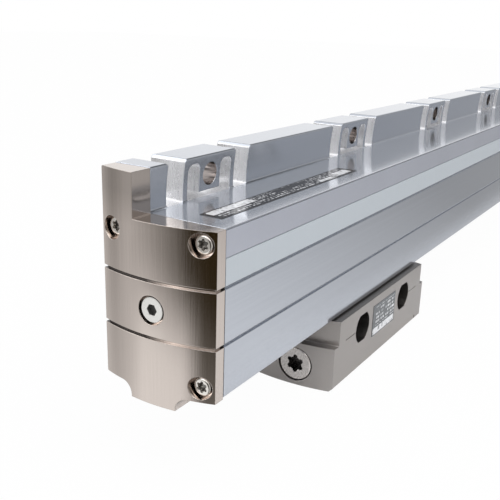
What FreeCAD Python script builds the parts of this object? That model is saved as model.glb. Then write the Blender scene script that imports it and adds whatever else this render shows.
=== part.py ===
import FreeCAD, Part
import math
import os
from FreeCAD import Vector

# Sealed linear glass scale, in millimetres.
# The origin is the axis of the middle spar hole where it meets the machine face.
# +X runs along the measuring length, +Z up, and the front of the housing looks along -Y.

# Housing profile and mounting spar
lug_pitch = 100.0
lug_count = 5
end_margin = 27.8
spar_thickness = 12.5
spar_height = 12.5
spar_hole_drop = 6.0
spar_hole_radius = 3.5
edge_radius = 0.5
spar_root_radius = 0.7
spar_waist_recess = 0.9
spar_foot_recess = 1.0
spar_sweep_radius = 60.0

# Lugs milled in the spar
lug_width = 25.6
lug_gap = 7.5
lug_gap_corner = 0.8
lug_top_chamfer = 0.8
lug_rib = 2.0
lug_groove = 5.6
lug_groove_corner = 2.2
lug_groove_cover = 2.0
tongue_clearance = 1.7

# Hollow of the housing, and the slot under it
wall_front = 4.0
wall_back = 4.5
wall_floor = 4.0
wall_ceiling = 4.0
screw_corner = 5.0
slot_plane_depth = 18.4
slot_width = 11.0
slot_rail_width = 2.0
slot_rail_drop = 4.1
scallop_radius = 4.0
bead_depth = 1.4
bead_height = 2.0
bead_above_bottom = 0.6

# Front face of the housing
front_groove_heights = (15.5, 31.7)
front_groove_width = 0.9
front_groove_depth = 0.7
strip_top_drop = 0.4
strip_height = 7.3
strip_thickness = 0.5
strip_edge_gap = 0.18
strip_recess = 0.1

# Name label on the ledge, left bare
label_length = 84.0
label_width = 7.2
label_thickness = 0.15
label_from_end = 7.0
label_from_front = 6.4

# End caps
cap_thickness_back = 5.3
cap_thickness_middle = 7.76
cap_thickness_front = 3.9
cap_top_drop = 0.15
cap_bottom_drop = 0.3
cap_foot_drop = 4.4
cap_edge_radius = 0.35
cap_step_radius = 0.6
cap_foot_step = 0.5
cap_top_radius = 1.3
cap_groove_depth = 0.8
gasket_thickness = 0.3
gasket_inset = 0.25

# Cap screws and air-port plug
cap_screw_radius = 1.5
cap_screw_inset = 4.1
cap_screw_edge = 3.9
cap_screw_thread = 10.0
cap_screw_head_radius = 2.75
cap_screw_head = 2.0
cap_screw_head_round = 0.7
cap_screw_seat = 2.1
counterbore_radius = 3.35
star_core = 1.0
star_lobe = 0.36
star_depth = 1.2
air_port_height = 23.5
air_port_radius = 2.5
air_plug_radius = 3.6
air_plug_head = 2.0
air_plug_edge = 0.3
air_plug_hex = 3.0
air_plug_hex_depth = 1.5
air_washer = 0.5
air_counterbore_radius = 4.2
air_plug_recess = 0.35

# Glass scale
glass_thickness = 5.0
glass_height = 22.0
glass_top_gap = 1.0
glass_end_gap = 8.0
bond_thickness = 0.4
scale_rib = 3.0
scale_rib_clearance = 0.6
track_thickness = 0.1
track_end = 12.0
fine_track_height = 3.8
fine_track_above_edge = 3.2
mark_track_height = 1.4
mark_track_above_edge = 7.8

# Sealing lips
lip_gap = 1.5
lip_tip = 1.4
lip_tip_above_rail = 0.5

# Scanning head, its block
head_x = -120.8
block_front_proud = 2.5
block_back_recess = 1.5
block_top_gap = 0.6
block_bottom_drop = 25.8
block_lower_length = 86.0
block_shoulder = 3.4
block_end_bulge = 2.6
rebate_below_top = 9.0
rebate_radius = 3.0
block_chamfer = 1.2
channel_clearance = 4.9
rail_clearance = 0.7
block_hole_pitch = 40.0
block_hole_drop = 9.2
block_hole_radius = 3.3
pocket_radius = 5.45
pocket_half_height = 5.2
pocket_depth = 7.6
index_line_gap = 0.4
index_line_length = 8.0
index_line_width = 0.3
index_line_depth = 0.2
drain_notch_from_middle = 36.0
drain_notch_width = 0.9
drain_notch_height = 2.6
end_bore_radius = 6.45
end_bore_depth = 16.0
end_bore_from_front = 14.1
end_bore_drop = 17.9
wire_bore_radius = 2.5

# Data plate on the block, left without words
data_plate_length = 21.6
data_plate_height = 12.5
data_plate_thickness = 0.12
data_plate_drop = 1.1

# Plug in the near end of the block, socket in the far end
end_plug_gap = 0.35
end_plug_length = 9.0
end_plug_recess = 0.3
end_plug_edge = 0.3
end_plug_nose = 1.5
end_plug_star_core = 2.0
end_plug_star_lobe = 0.75
end_plug_star_depth = 3.6
plug_seal_thickness = 1.6
plug_seal_width = 1.85
socket_shell_wall = 1.1
socket_shell_length = 10.5
socket_recess = 0.4
socket_insert_thickness = 3.0
contact_radius = 0.5
contact_length = 3.2
contact_circle = 3.2
contact_count = 8

# Signal board in the block, and the cover under it
board_thickness = 1.6
board_bay_length = 27.0
board_bay_from_front = 6.5
board_bay_from_back = 6.5
board_bay_top_drop = 14.0
board_side_gap = 0.5
chip_height = 1.4
amplifier_side = 8.0
driver_length = 10.0
driver_width = 3.5
driver_from_middle = 8.25
capacitor_length = 2.5
capacitor_width = 1.5
capacitor_from_middle = 9.25
capacitor_from_centre = 4.75
cover_thickness = 1.5
cover_rim = 4.2
cover_gap = 0.15
cover_screw_radius = 1.0
cover_screw_head_radius = 1.9
cover_screw_length = 5.0
cover_screw_star_core = 0.6
cover_screw_star_lobe = 0.2
cover_screw_star_depth = 0.6
board_screw_radius = 0.8
board_screw_head_radius = 1.5
board_screw_head = 1.0
board_screw_length = 3.0
board_screw_inset = 3.0

# Coupling blade through the lips
blade_thickness = 1.2
blade_length = 34.0
blade_point = 6.0
blade_top_length = 16.0
blade_foot_length = 30.0
blade_foot_width = 10.0
blade_foot_thickness = 1.0
blade_foot_floor = 8.0
blade_screw_head = 1.2
blade_screw_length = 2.6
blade_screw_inset = 3.0
blade_shoulder_gap = 0.3
blade_top_gap = 1.2
coupling_pin_radius = 0.8
coupling_pin_above_ear_foot = 1.6
ear_thickness = 1.6
ear_length = 10.0
ear_height = 4.2
ear_gap = 0.2
ear_floor_gap = 0.8

# Scanning carriage on the glass
carriage_length = 60.0
bridge_thickness = 3.5
bridge_clearance = 1.9
front_cheek = 6.4
front_cheek_above_roller = 3.25
front_cheek_gap = 1.5
back_cheek = 3.0
back_cheek_drop = 2.4
back_cheek_gap = 1.5
window_side_gap = 0.6
window_face_gap = 0.4

# Guide rollers
roller_radius = 3.0
roller_width = 2.5
roller_bore = 1.0
roller_gap = 0.1
roller_edge = 0.3
pin_running_gap = 0.04
pin_overlap = 1.5
face_roller_spacing = 48.0
face_roller_above_edge = 3.25
top_roller_above_edge = 12.65
edge_roller_spacing = 28.0
spacer_radius = 1.8
spacer_gap = 0.15

# Light, lens, reticle and cells
optics_above_edge = 5.3
optics_bore_radius = 4.0
lamp_radius = 1.5
lamp_length = 2.4
lens_thickness = 1.8
lens_edge = 0.8
lens_from_glass = 3.2
reticle_length = 13.8
reticle_height = 8.8
reticle_thickness = 1.5
reticle_seat = 0.9
cell_window_length = 26.0
cell_window_height = 7.0
cell_length = 4.4
cell_height = 5.0
cell_thickness = 1.1
cell_count = 4
lamp_board_length = 24.0
lamp_board_height = 14.0
lamp_screw_inset = 2.5
lamp_side_clearance = 1.6
sensor_board_length = 52.0
sensor_board_height = 20.0
sensor_screw_inset = 4.0
sensor_chip_side = 8.0
sensor_chip_rise = 1.5
lead_width = 8.0
lead_thickness = 0.25
lead_overlap = 3.0
lead_below_bridge = 1.6
lead_bend = 1.0

# How far a cutter runs past a face, and how near counts as on it
overshoot = 1.0
tolerance = 0.001

# Lines that the rest is measured from, along Y
back = 0.0
slot_plane = -slot_plane_depth
spar_front = -spar_thickness
glass_front = slot_plane - glass_thickness / 2
glass_back = slot_plane + glass_thickness / 2
front_cheek_inner = glass_front - front_cheek_gap
front_cheek_outer = front_cheek_inner - front_cheek
back_cheek_inner = glass_back + back_cheek_gap
back_cheek_outer = back_cheek_inner + back_cheek
lamp_board_front = front_cheek_outer - board_thickness
sensor_board_back = back_cheek_outer + board_thickness
cavity_front = lamp_board_front - board_screw_head - lamp_side_clearance
cavity_back = back - wall_back
front = cavity_front - wall_front
middle = front / 2
rail_front = slot_plane - slot_width / 2 - slot_rail_width
rail_back = slot_plane + slot_width / 2 + slot_rail_width
block_front = front - block_front_proud
block_back = back - block_back_recess
face_roller_y = glass_front - roller_gap - roller_radius

# Lines that the rest is measured from, from the top down
top = spar_hole_drop
ledge = top - spar_height
cavity_ceiling = ledge - wall_ceiling
glass_top = cavity_ceiling - glass_top_gap
glass_low = glass_top - glass_height
optics_level = glass_low + optics_above_edge
face_roller_level = glass_low + face_roller_above_edge
top_roller_level = glass_low + top_roller_above_edge
front_cheek_top = top_roller_level + front_cheek_above_roller
back_cheek_top = front_cheek_top - back_cheek_drop
scale_rib_low = front_cheek_top + scale_rib_clearance
edge_roller_level = glass_low - roller_gap - roller_radius
bridge_top = edge_roller_level - roller_radius - bridge_clearance
bridge_low = bridge_top - bridge_thickness
ear_low = bridge_low - ear_height
pin_level = ear_low + coupling_pin_above_ear_foot
cavity_floor = ear_low - ear_floor_gap
bottom = cavity_floor - wall_floor
rail_low = bottom - slot_rail_drop
block_top = bottom - block_top_gap
block_low = bottom - block_bottom_drop
rebate_level = block_top - rebate_below_top
channel_floor = bottom - channel_clearance
block_hole_level = bottom - block_hole_drop
end_bore_level = bottom - end_bore_drop
blade_foot_low = bottom - blade_foot_floor
bay_top = bottom - board_bay_top_drop
cover_face = block_low + cover_thickness

# Other lines and lengths
body_half = (lug_count - 1) * lug_pitch / 2 + end_margin
far = 2 * body_half
glass_half = body_half - glass_end_gap
end_bore_y = block_front + end_bore_from_front
bay_front = block_front + board_bay_from_front
bay_back = block_back - board_bay_from_back
block_upper_length = block_lower_length - 2 * block_shoulder


def block(x, y, z):
    """A box between two values on each axis."""
    corner = Vector(min(x), min(y), min(z))
    return Part.makeBox(max(x) - min(x), max(y) - min(y), max(z) - min(z), corner)


def rod(start, direction, radius, length):
    """A cylinder from a point, along a direction."""
    return Part.makeCylinder(radius, length, Vector(*start), Vector(*direction))


def joined(shapes):
    """The shapes fused, with flat neighbours merged."""
    first, rest = shapes[0], shapes[1:]
    return first.fuse(rest).removeSplitter() if rest else first


def rounded_wire(corners, place):
    """A closed wire through corners (u, v, radius), where place maps u and v to a point."""
    points = [place(u, v) for u, v, radius in corners]
    arcs = []
    for index, (u, v, radius) in enumerate(corners):
        here = points[index]
        to_before = (points[index - 1] - here).normalize()
        to_after = (points[(index + 1) % len(points)] - here).normalize()
        if radius == 0:
            arcs.append((here, None, here))
            continue
        half = to_before.getAngle(to_after) / 2
        reach = radius / math.tan(half)
        inward = (to_before + to_after).normalize()
        nearest = here + inward * (radius / math.sin(half) - radius)
        arcs.append((here + to_before * reach, nearest, here + to_after * reach))
    edges = []
    for index, (start, nearest, end) in enumerate(arcs):
        if nearest is not None:
            edges.append(Part.Arc(start, nearest, end).toShape())
        following = arcs[(index + 1) % len(arcs)][0]
        if (following - end).Length > 1e-6:
            edges.append(Part.LineSegment(end, following).toShape())
    return Part.Wire(edges)


def along_x(corners, x_from, x_to):
    """Corners (y, z, radius) extruded along X."""
    wire = rounded_wire(corners, lambda y, z: Vector(x_from, y, z))
    return Part.Face(wire).extrude(Vector(x_to - x_from, 0, 0))


def along_y(corners, y_from, y_to):
    """Corners (x, z, radius) extruded along Y."""
    wire = rounded_wire(corners, lambda x, z: Vector(x, y_from, z))
    return Part.Face(wire).extrude(Vector(0, y_to - y_from, 0))


def mirrored(shape):
    """The same piece at the other end of the housing."""
    return shape.mirror(Vector(0, 0, 0), Vector(1, 0, 0))


def mirrored_reach(reach):
    """Two places, one on each side of the middle."""
    return (-reach, reach)


def in_head(shape):
    """A piece of the scanning head, drawn about X = 0, moved to where the head rests."""
    return shape.translated(Vector(head_x, 0, 0))


def star_recess(centre, direction, core, lobe, depth):
    """A six-lobed driver recess going into a head."""
    axis = Vector(*direction)
    side = Vector(0, 0, 1) if abs(axis.z) < 0.5 else Vector(1, 0, 0)
    other = axis.cross(side)
    cutters = [rod(centre, direction, core, depth)]
    for step in range(6):
        angle = math.radians(60 * step)
        offset = side * (core * math.cos(angle)) + other * (core * math.sin(angle))
        cutters.append(rod(Vector(*centre) + offset, direction, lobe, depth))
    return joined(cutters)


def hexagon(centre, across, depth):
    """A hexagonal prism along +X from its centre point."""
    reach = across / math.sqrt(3)
    corners = []
    for step in range(6):
        angle = math.radians(60 * step + 30)
        corners.append((centre[1] + reach * math.cos(angle), centre[2] + reach * math.sin(angle), 0))
    return along_x(corners, centre[0], centre[0] + depth)


def rounded_head(shape, face_x, radius):
    """A head with the rim rounded on its face at this X."""
    rim = [edge for edge in shape.Edges if abs(edge.BoundBox.Center.x - face_x) < tolerance]
    return shape.makeFillet(radius, rim)


# Housing

def lug_centres():
    """The X of each lug."""
    return [(index - (lug_count - 1) / 2) * lug_pitch for index in range(lug_count)]


def cap_screw_places():
    """The Y and Z of the three cap screws: upper back, upper front, lower front."""
    back_y = back - cap_screw_inset
    front_y = front + cap_screw_inset
    upper, lower = ledge - cap_screw_edge, bottom + cap_screw_edge
    return [(back_y, upper), (front_y, upper), (front_y, lower)]


def housing_corners():
    """The outline of the extrusion; the front of the spar sweeps back a little towards its foot."""
    return [
        (back, bottom, edge_radius),
        (back, top, edge_radius),
        (spar_front, top, edge_radius),
        (spar_front + spar_waist_recess, (top + ledge) / 2, spar_sweep_radius),
        (spar_front + spar_foot_recess, ledge, spar_root_radius),
        (front, ledge, edge_radius),
        (front, bottom, edge_radius),
        (rail_front, bottom, scallop_radius),
        (rail_front, rail_low, 0),
        (rail_back, rail_low, 0),
        (rail_back, bottom, scallop_radius),
    ]


def cavity_corners():
    """The hollow of the extrusion, with its corners filled where the cap screws go in."""
    return [
        (cavity_front, cavity_floor + screw_corner, 0),
        (cavity_front, cavity_ceiling - screw_corner, 0),
        (cavity_front + screw_corner, cavity_ceiling, 0),
        (cavity_back - screw_corner, cavity_ceiling, 0),
        (cavity_back, cavity_ceiling - screw_corner, 0),
        (cavity_back, cavity_floor + screw_corner, 0),
        (cavity_back - screw_corner, cavity_floor, 0),
        (cavity_front + screw_corner, cavity_floor, 0),
    ]


def lip_corners(side):
    """The section of one lip; side is -1 for the front lip and 1 for the back one."""
    wall = slot_width / 2
    bead_low = bottom + bead_above_bottom
    tip_low = rail_low + lip_tip_above_rail
    inner = lip_gap / 2
    return [
        (slot_plane + side * (wall + bead_depth), bead_low, 0),
        (slot_plane + side * (wall + bead_depth), bead_low + bead_height, 0),
        (slot_plane + side * wall, bead_low + bead_height, 0),
        (slot_plane + side * inner, tip_low + lip_tip, 0),
        (slot_plane + side * inner, tip_low, 0),
        (slot_plane + side * wall, bead_low, 0),
    ]


def lug_gap_cutter(x_from, x_to):
    """One gap milled through the spar, with rounded foot corners and a chamfered top."""
    return along_y([
        (x_from, ledge, lug_gap_corner),
        (x_to, ledge, lug_gap_corner),
        (x_to, top - lug_top_chamfer, 0),
        (x_to + 2 * lug_top_chamfer, top + lug_top_chamfer, 0),
        (x_from - 2 * lug_top_chamfer, top + lug_top_chamfer, 0),
        (x_from, top - lug_top_chamfer, 0),
    ], back + overshoot, spar_front - 2 * spar_root_radius)


def tongue_cutter(centre):
    """The groove that leaves a tongue hanging in a lug, open under the tongue."""
    y_from, y_to = back + overshoot, spar_front - 2 * spar_root_radius
    outer = lug_width / 2 - lug_rib
    inner = outer - lug_groove
    groove_top = top - lug_groove_cover
    pieces = [block((centre - outer, centre + outer), (y_from, y_to), (ledge, ledge + tongue_clearance))]
    for side in (-1, 1):
        edges = (centre + side * inner, centre + side * outer)
        pieces.append(along_y([
            (min(edges), ledge, 0),
            (max(edges), ledge, 0),
            (max(edges), groove_top, lug_groove_corner),
            (min(edges), groove_top, lug_groove_corner),
        ], y_from, y_to))
    return joined(pieces)


def strip_band(gap):
    """The height range of the inlay strip, grown by a gap."""
    strip_top = ledge - strip_top_drop
    return strip_top - strip_height - gap, strip_top + gap


def housing_profile():
    body = along_x(housing_corners(), -body_half, body_half)
    hollow = along_x(cavity_corners(), -body_half, body_half)
    for face, outwards in ((glass_front - bond_thickness, -1), (glass_back + bond_thickness, 1)):
        rib = block((-body_half, body_half), (face, face + outwards * scale_rib),
                    (scale_rib_low, cavity_ceiling))
        hollow = hollow.cut(rib)
    slot_half = slot_width / 2
    slot = block((-body_half, body_half), (slot_plane - slot_half, slot_plane + slot_half),
                 (rail_low, cavity_floor))
    bead_half = slot_half + bead_depth
    bead_low = bottom + bead_above_bottom
    beads = block((-body_half, body_half), (slot_plane - bead_half, slot_plane + bead_half),
                  (bead_low, bead_low + bead_height))
    cutters = [hollow, slot, beads]
    strip_low, strip_high = strip_band(strip_edge_gap)
    channel_face = front + strip_recess + strip_thickness
    cutters.append(block((-body_half, body_half), (front, channel_face), (strip_low, strip_high)))
    for height in front_groove_heights:
        level = bottom + height
        half = front_groove_width / 2
        cutters.append(block((-body_half, body_half), (front, front + front_groove_depth),
                             (level - half, level + half)))
    ends = [-body_half]
    for centre in lug_centres():
        ends += [centre - lug_width / 2 - lug_gap, centre - lug_width / 2]
        ends += [centre + lug_width / 2, centre + lug_width / 2 + lug_gap]
        cutters.append(tongue_cutter(centre))
        cutters.append(rod((centre, back, 0), (0, -1, 0), spar_hole_radius, spar_thickness))
    for x_from, x_to in zip(ends[1::2], ends[2::2]):
        cutters.append(lug_gap_cutter(x_from, x_to))
    for y, z in cap_screw_places():
        for start, direction in ((-body_half, 1), (body_half, -1)):
            cutters.append(rod((start, y, z), (direction, 0, 0), cap_screw_radius, cap_screw_thread))
    return body.cut(cutters)


def front_inlay_strip():
    low, high = strip_band(0)
    face = front + strip_recess
    return block((-body_half, body_half), (face, face + strip_thickness), (low, high))


def name_label():
    x_from = -body_half + label_from_end
    y_from = front + label_from_front
    return block((x_from, x_from + label_length), (y_from, y_from + label_width),
                 (ledge, ledge + label_thickness))


def sealing_lip(side):
    return along_x(lip_corners(side), -body_half, body_half)


def glass_scale():
    return block((-glass_half, glass_half), (glass_front, glass_back), (glass_low, glass_top))


def graduation_tracks():
    reach = glass_half - track_end
    tracks = []
    for above, height in (
            (fine_track_above_edge, fine_track_height),
            (mark_track_above_edge, mark_track_height)):
        low = glass_low + above
        tracks.append(block((-reach, reach), (glass_back, glass_back + track_thickness), (low, low + height)))
    return Part.Compound(tracks)


def scale_bond():
    outer = block((-glass_half, glass_half), (glass_front - bond_thickness, glass_back + bond_thickness),
                  (scale_rib_low, cavity_ceiling))
    return outer.cut(glass_scale())


# End caps, drawn at the near end

def cap_bow(inset):
    """Three points on the bow of the cap's outer face, set back by an inset."""
    end = -body_half + inset
    return (
        Vector(end - cap_thickness_back, back - inset, 0),
        Vector(end - cap_thickness_middle, middle, 0),
        Vector(end - cap_thickness_front, front + inset, 0),
    )


def cap_outer_x(y):
    """The X of the cap's outer face at one Y."""
    bow = Part.Circle(*cap_bow(0))
    return bow.Center.x - math.sqrt(bow.Radius ** 2 - (y - bow.Center.y) ** 2)


def cap_plan(inset):
    """The cap seen from above: flat where it meets the gasket, and bowed outwards."""
    back_end, apex, front_end = cap_bow(inset)
    inner = -body_half - gasket_thickness
    inner_back, inner_front = Vector(inner, back - inset, 0), Vector(inner, front + inset, 0)
    wire = Part.Wire([
        Part.Arc(back_end, apex, front_end).toShape(),
        Part.LineSegment(front_end, inner_front).toShape(),
        Part.LineSegment(inner_front, inner_back).toShape(),
        Part.LineSegment(inner_back, back_end).toShape(),
    ])
    low, high = bottom - cap_foot_drop - overshoot, top + overshoot
    wire.translate(Vector(0, 0, low))
    return Part.Face(wire).extrude(Vector(0, 0, high - low))


def cap_outline():
    """The cap seen along X, as deep as the thickest part of the cap."""
    low = bottom - cap_bottom_drop
    foot = bottom - cap_foot_drop
    high = top - cap_top_drop
    scallop = min(scallop_radius, cap_foot_drop - cap_bottom_drop - cap_foot_step)
    corners = [
        (back, low, 0),
        (back, high, cap_top_radius),
        (spar_front, high, 0),
        (spar_front, ledge, cap_step_radius),
        (front, ledge, 0),
        (front, low, 0),
        (rail_front, low, scallop),
        (rail_front, foot, 0),
        (rail_back, foot, 0),
        (rail_back, low, scallop),
    ]
    return along_x(corners, -body_half - gasket_thickness, -body_half - cap_thickness_middle - overshoot)


def end_cap():
    cap = cap_outline().common(cap_plan(0))
    inner = -body_half - gasket_thickness
    rim = []
    for edge in cap.Edges:
        halfway = edge.valueAt((edge.FirstParameter + edge.LastParameter) / 2)
        if abs(halfway.x - cap_outer_x(halfway.y)) < tolerance:
            rim.append(edge)
    cap = cap.makeFillet(cap_edge_radius, rim)
    cutters = []
    for height in front_groove_heights:
        level = bottom + height
        half = front_groove_width / 2
        slab = block((-body_half - cap_thickness_middle - overshoot, -body_half),
                     (front - overshoot, back + overshoot), (level - half, level + half))
        cutters.append(slab.cut(cap_plan(cap_groove_depth)))
    for y, z in cap_screw_places():
        cutters.append(rod((inner, y, z), (-1, 0, 0), cap_screw_radius, far))
        seat = inner - cap_screw_seat
        cutters.append(rod((seat, y, z), (-1, 0, 0), counterbore_radius, cap_thickness_middle))
    level = bottom + air_port_height
    cutters.append(rod((inner, slot_plane, level), (-1, 0, 0), air_port_radius, far))
    cutters.append(rod((air_port_seat(), slot_plane, level), (-1, 0, 0), air_counterbore_radius, far))
    return cap.cut(cutters)


def air_port_seat():
    """The X of the floor of the air-port counterbore."""
    return cap_outer_x(slot_plane) + air_plug_recess + air_plug_head + air_washer


def cap_gasket():
    inner = [(y, z, 0) for y, z, radius in housing_corners()]
    sheet = along_x(inner, -body_half - gasket_thickness, -body_half)
    trim = sheet.copy()
    moves = [(0, gasket_inset), (0, -gasket_inset), (gasket_inset, 0), (-gasket_inset, 0)]
    for y_move, z_move in moves:
        trim = trim.common(sheet.translated(Vector(0, y_move, z_move)))
    holes = [along_x(cavity_corners(), -body_half - gasket_thickness, -body_half)]
    for y, z in cap_screw_places():
        holes.append(rod((-body_half, y, z), (-1, 0, 0), cap_screw_radius, gasket_thickness))
    return trim.cut(holes)


def cap_screws():
    seat = -body_half - gasket_thickness - cap_screw_seat
    face = seat - cap_screw_head
    screws = []
    for y, z in cap_screw_places():
        head = rod((seat, y, z), (-1, 0, 0), cap_screw_head_radius, cap_screw_head)
        head = rounded_head(head, face, cap_screw_head_round)
        shank = rod((seat, y, z), (1, 0, 0), cap_screw_radius, -body_half + cap_screw_thread - seat)
        recess = star_recess((face, y, z), (1, 0, 0), star_core, star_lobe, star_depth)
        screws.append(joined([head, shank]).cut(recess))
    return Part.Compound(screws)


def air_port_plug():
    level = bottom + air_port_height
    seat = air_port_seat() - air_washer
    face = seat - air_plug_head
    head = rod((seat, slot_plane, level), (-1, 0, 0), air_plug_radius, air_plug_head)
    head = rounded_head(head, face, air_plug_edge)
    inner = -body_half - gasket_thickness
    shank = rod((seat, slot_plane, level), (1, 0, 0), air_port_radius, inner - seat)
    recess = hexagon((face, slot_plane, level), air_plug_hex, air_plug_hex_depth)
    return joined([head, shank]).cut(recess)


def air_port_washer():
    level = bottom + air_port_height
    start = (air_port_seat(), slot_plane, level)
    ring = rod(start, (-1, 0, 0), air_plug_radius, air_washer)
    return ring.cut(rod(start, (-1, 0, 0), air_port_radius, air_washer))


# Scanning head, drawn about X = 0

def block_plan(length, z_from, z_to):
    """The block seen from above: straight sides and bowed ends."""
    half = length / 2
    centre_y = (block_front + block_back) / 2
    corners = [Vector(x, y, z_from) for x, y in
               ((-half, block_front), (half, block_front), (half, block_back), (-half, block_back))]
    right = Part.Arc(corners[1], Vector(half + block_end_bulge, centre_y, z_from), corners[2])
    left = Part.Arc(corners[3], Vector(-half - block_end_bulge, centre_y, z_from), corners[0])
    wire = Part.Wire([
        Part.LineSegment(corners[0], corners[1]).toShape(),
        right.toShape(),
        Part.LineSegment(corners[2], corners[3]).toShape(),
        left.toShape(),
    ])
    return Part.Face(wire).extrude(Vector(0, 0, z_to - z_from))


def block_end_x(y):
    """How far the lower part of the block reaches along X at one Y."""
    half_depth = (block_back - block_front) / 2
    bow_radius = (half_depth ** 2 + block_end_bulge ** 2) / (2 * block_end_bulge)
    offset = y - (block_front + block_back) / 2
    bow_centre = block_lower_length / 2 + block_end_bulge - bow_radius
    return bow_centre + math.sqrt(bow_radius ** 2 - offset ** 2)


def block_hole_places():
    """The X of the two bolt holes."""
    return mirrored_reach(block_hole_pitch / 2)


def cover_corners(gap):
    """The X and Y ranges of the cover, shrunk by a gap."""
    half = board_bay_length / 2 + cover_rim - gap
    return (-half, half), (bay_front - cover_rim + gap, bay_back + cover_rim - gap)


def cover_screw_places():
    """The X and Y of the four cover screws."""
    (x_low, x_high), (y_low, y_high) = cover_corners(0)
    inset = cover_rim / 2
    return [(x, y) for x in (x_low + inset, x_high - inset) for y in (y_low + inset, y_high - inset)]


def board_screw_places():
    """The X and Y of the two screws of the signal board."""
    y = (bay_front + bay_back) / 2
    reach = board_bay_length / 2 - board_screw_inset
    return [(-reach, y), (reach, y)]


def blade_screw_places():
    """The X and Y of the two screws in the foot of the blade."""
    reach = blade_foot_length / 2 - blade_screw_inset
    return [(-reach, slot_plane - blade_foot_width / 4), (reach, slot_plane + blade_foot_width / 4)]


def mounting_block():
    body = block_plan(block_lower_length, block_low, block_top)
    upper = block_plan(block_upper_length, rebate_level, block_top + overshoot)
    over = block((-far, far), (-far, far), (rebate_level, block_top + overshoot))
    body = body.cut(over.cut(upper))
    upper_reach = block_upper_length / 2 + block_end_bulge
    roots = []
    for edge in body.Edges:
        box = edge.BoundBox
        on_level = abs(box.ZMin - rebate_level) < tolerance and abs(box.ZMax - rebate_level) < tolerance
        bowed = isinstance(edge.Curve, Part.Circle)
        if on_level and bowed and max(-box.XMin, box.XMax) < upper_reach + tolerance:
            roots.append(edge)
    body = body.makeFillet(rebate_radius, roots)
    for y, inwards in ((block_front, 1), (block_back, -1)):
        wedge = [
            (y, block_low, 0),
            (y + inwards * block_chamfer, block_low, 0),
            (y, block_low + block_chamfer, 0),
        ]
        body = body.cut(along_x(wedge, -far, far))
    channel_margin = scallop_radius + rail_clearance
    foot_y = (slot_plane - blade_foot_width / 2, slot_plane + blade_foot_width / 2)
    cutters = [
        block((-far, far), (rail_front - channel_margin, rail_back + channel_margin),
              (channel_floor, block_top + overshoot)),
        block((-blade_foot_length / 2, blade_foot_length / 2), foot_y, (blade_foot_low, channel_floor)),
        block((-board_bay_length / 2, board_bay_length / 2), (bay_front, bay_back), (block_low, bay_top)),
        block(*cover_corners(0), (block_low, cover_face)),
    ]
    for x in block_hole_places():
        pocket = rod((x, block_front, block_hole_level), (0, 1, 0), pocket_radius, pocket_depth)
        flats = block((x - pocket_radius, x + pocket_radius), (block_front, block_front + pocket_depth),
                      (block_hole_level - pocket_half_height, block_hole_level + pocket_half_height))
        cutters.append(pocket.common(flats))
        cutters.append(rod((x, block_front, block_hole_level), (0, 1, 0), block_hole_radius,
                           block_back - block_front))
        outwards = 1 if x > 0 else -1
        line_from = x + outwards * (pocket_radius + index_line_gap)
        line_low = block_hole_level - index_line_width / 2
        cutters.append(block((line_from, line_from + outwards * index_line_length),
                             (block_front, block_front + index_line_depth),
                             (line_low, line_low + index_line_width)))
    cutters.append(block((drain_notch_from_middle, drain_notch_from_middle + drain_notch_width),
                         (block_front, block_front + block_chamfer),
                         (block_low, block_low + drain_notch_height)))
    reach = block_end_x(end_bore_y)
    for direction in (-1, 1):
        floor = direction * (reach - end_bore_depth)
        cutters.append(rod((floor, end_bore_y, end_bore_level), (direction, 0, 0), end_bore_radius,
                           end_bore_depth + block_end_bulge))
    cutters.append(rod((-reach, end_bore_y, end_bore_level), (1, 0, 0), wire_bore_radius, 2 * reach))
    for x, y in cover_screw_places():
        cutters.append(rod((x, y, cover_face), (0, 0, 1), cover_screw_radius, cover_screw_length))
    for x, y in board_screw_places():
        cutters.append(rod((x, y, bay_top), (0, 0, 1), board_screw_radius, board_screw_length))
    for x, y in blade_screw_places():
        cutters.append(rod((x, y, blade_foot_low), (0, 0, -1), board_screw_radius, blade_screw_length))
    return body.cut(cutters)


def data_plate():
    half = data_plate_length / 2
    low = block_hole_level - data_plate_drop - data_plate_height / 2
    return block((-half, half), (block_front - data_plate_thickness, block_front),
                 (low, low + data_plate_height))


def block_end_plug():
    face = -block_end_x(end_bore_y) + end_plug_recess
    centre = (face, end_bore_y, end_bore_level)
    plug = rod(centre, (1, 0, 0), end_bore_radius - end_plug_gap, end_plug_length)
    plug = rounded_head(plug, face, end_plug_edge)
    neck = rod((face + end_plug_length, end_bore_y, end_bore_level), (1, 0, 0),
               end_bore_radius - plug_seal_width, plug_seal_thickness + end_plug_nose)
    recess = star_recess(centre, (1, 0, 0), end_plug_star_core, end_plug_star_lobe, end_plug_star_depth)
    return joined([plug, neck]).cut(recess)


def plug_seal():
    start = (-block_end_x(end_bore_y) + end_plug_recess + end_plug_length, end_bore_y, end_bore_level)
    ring = rod(start, (1, 0, 0), end_bore_radius, plug_seal_thickness)
    return ring.cut(rod(start, (1, 0, 0), end_bore_radius - plug_seal_width, plug_seal_thickness))


def socket_mouth():
    """The X of the mouth of the cable socket."""
    return block_end_x(end_bore_y) - socket_recess


def cable_socket_shell():
    start = (socket_mouth(), end_bore_y, end_bore_level)
    shell = rod(start, (-1, 0, 0), end_bore_radius, socket_shell_length)
    return shell.cut(rod(start, (-1, 0, 0), end_bore_radius - socket_shell_wall, socket_shell_length))


def cable_socket_insert():
    start = (socket_mouth() - socket_shell_length, end_bore_y, end_bore_level)
    insert = rod(start, (1, 0, 0), end_bore_radius - socket_shell_wall, socket_insert_thickness)
    return insert.cut([rod(start[:1] + place, (1, 0, 0), contact_radius, socket_insert_thickness)
                       for place in contact_places()])


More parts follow.
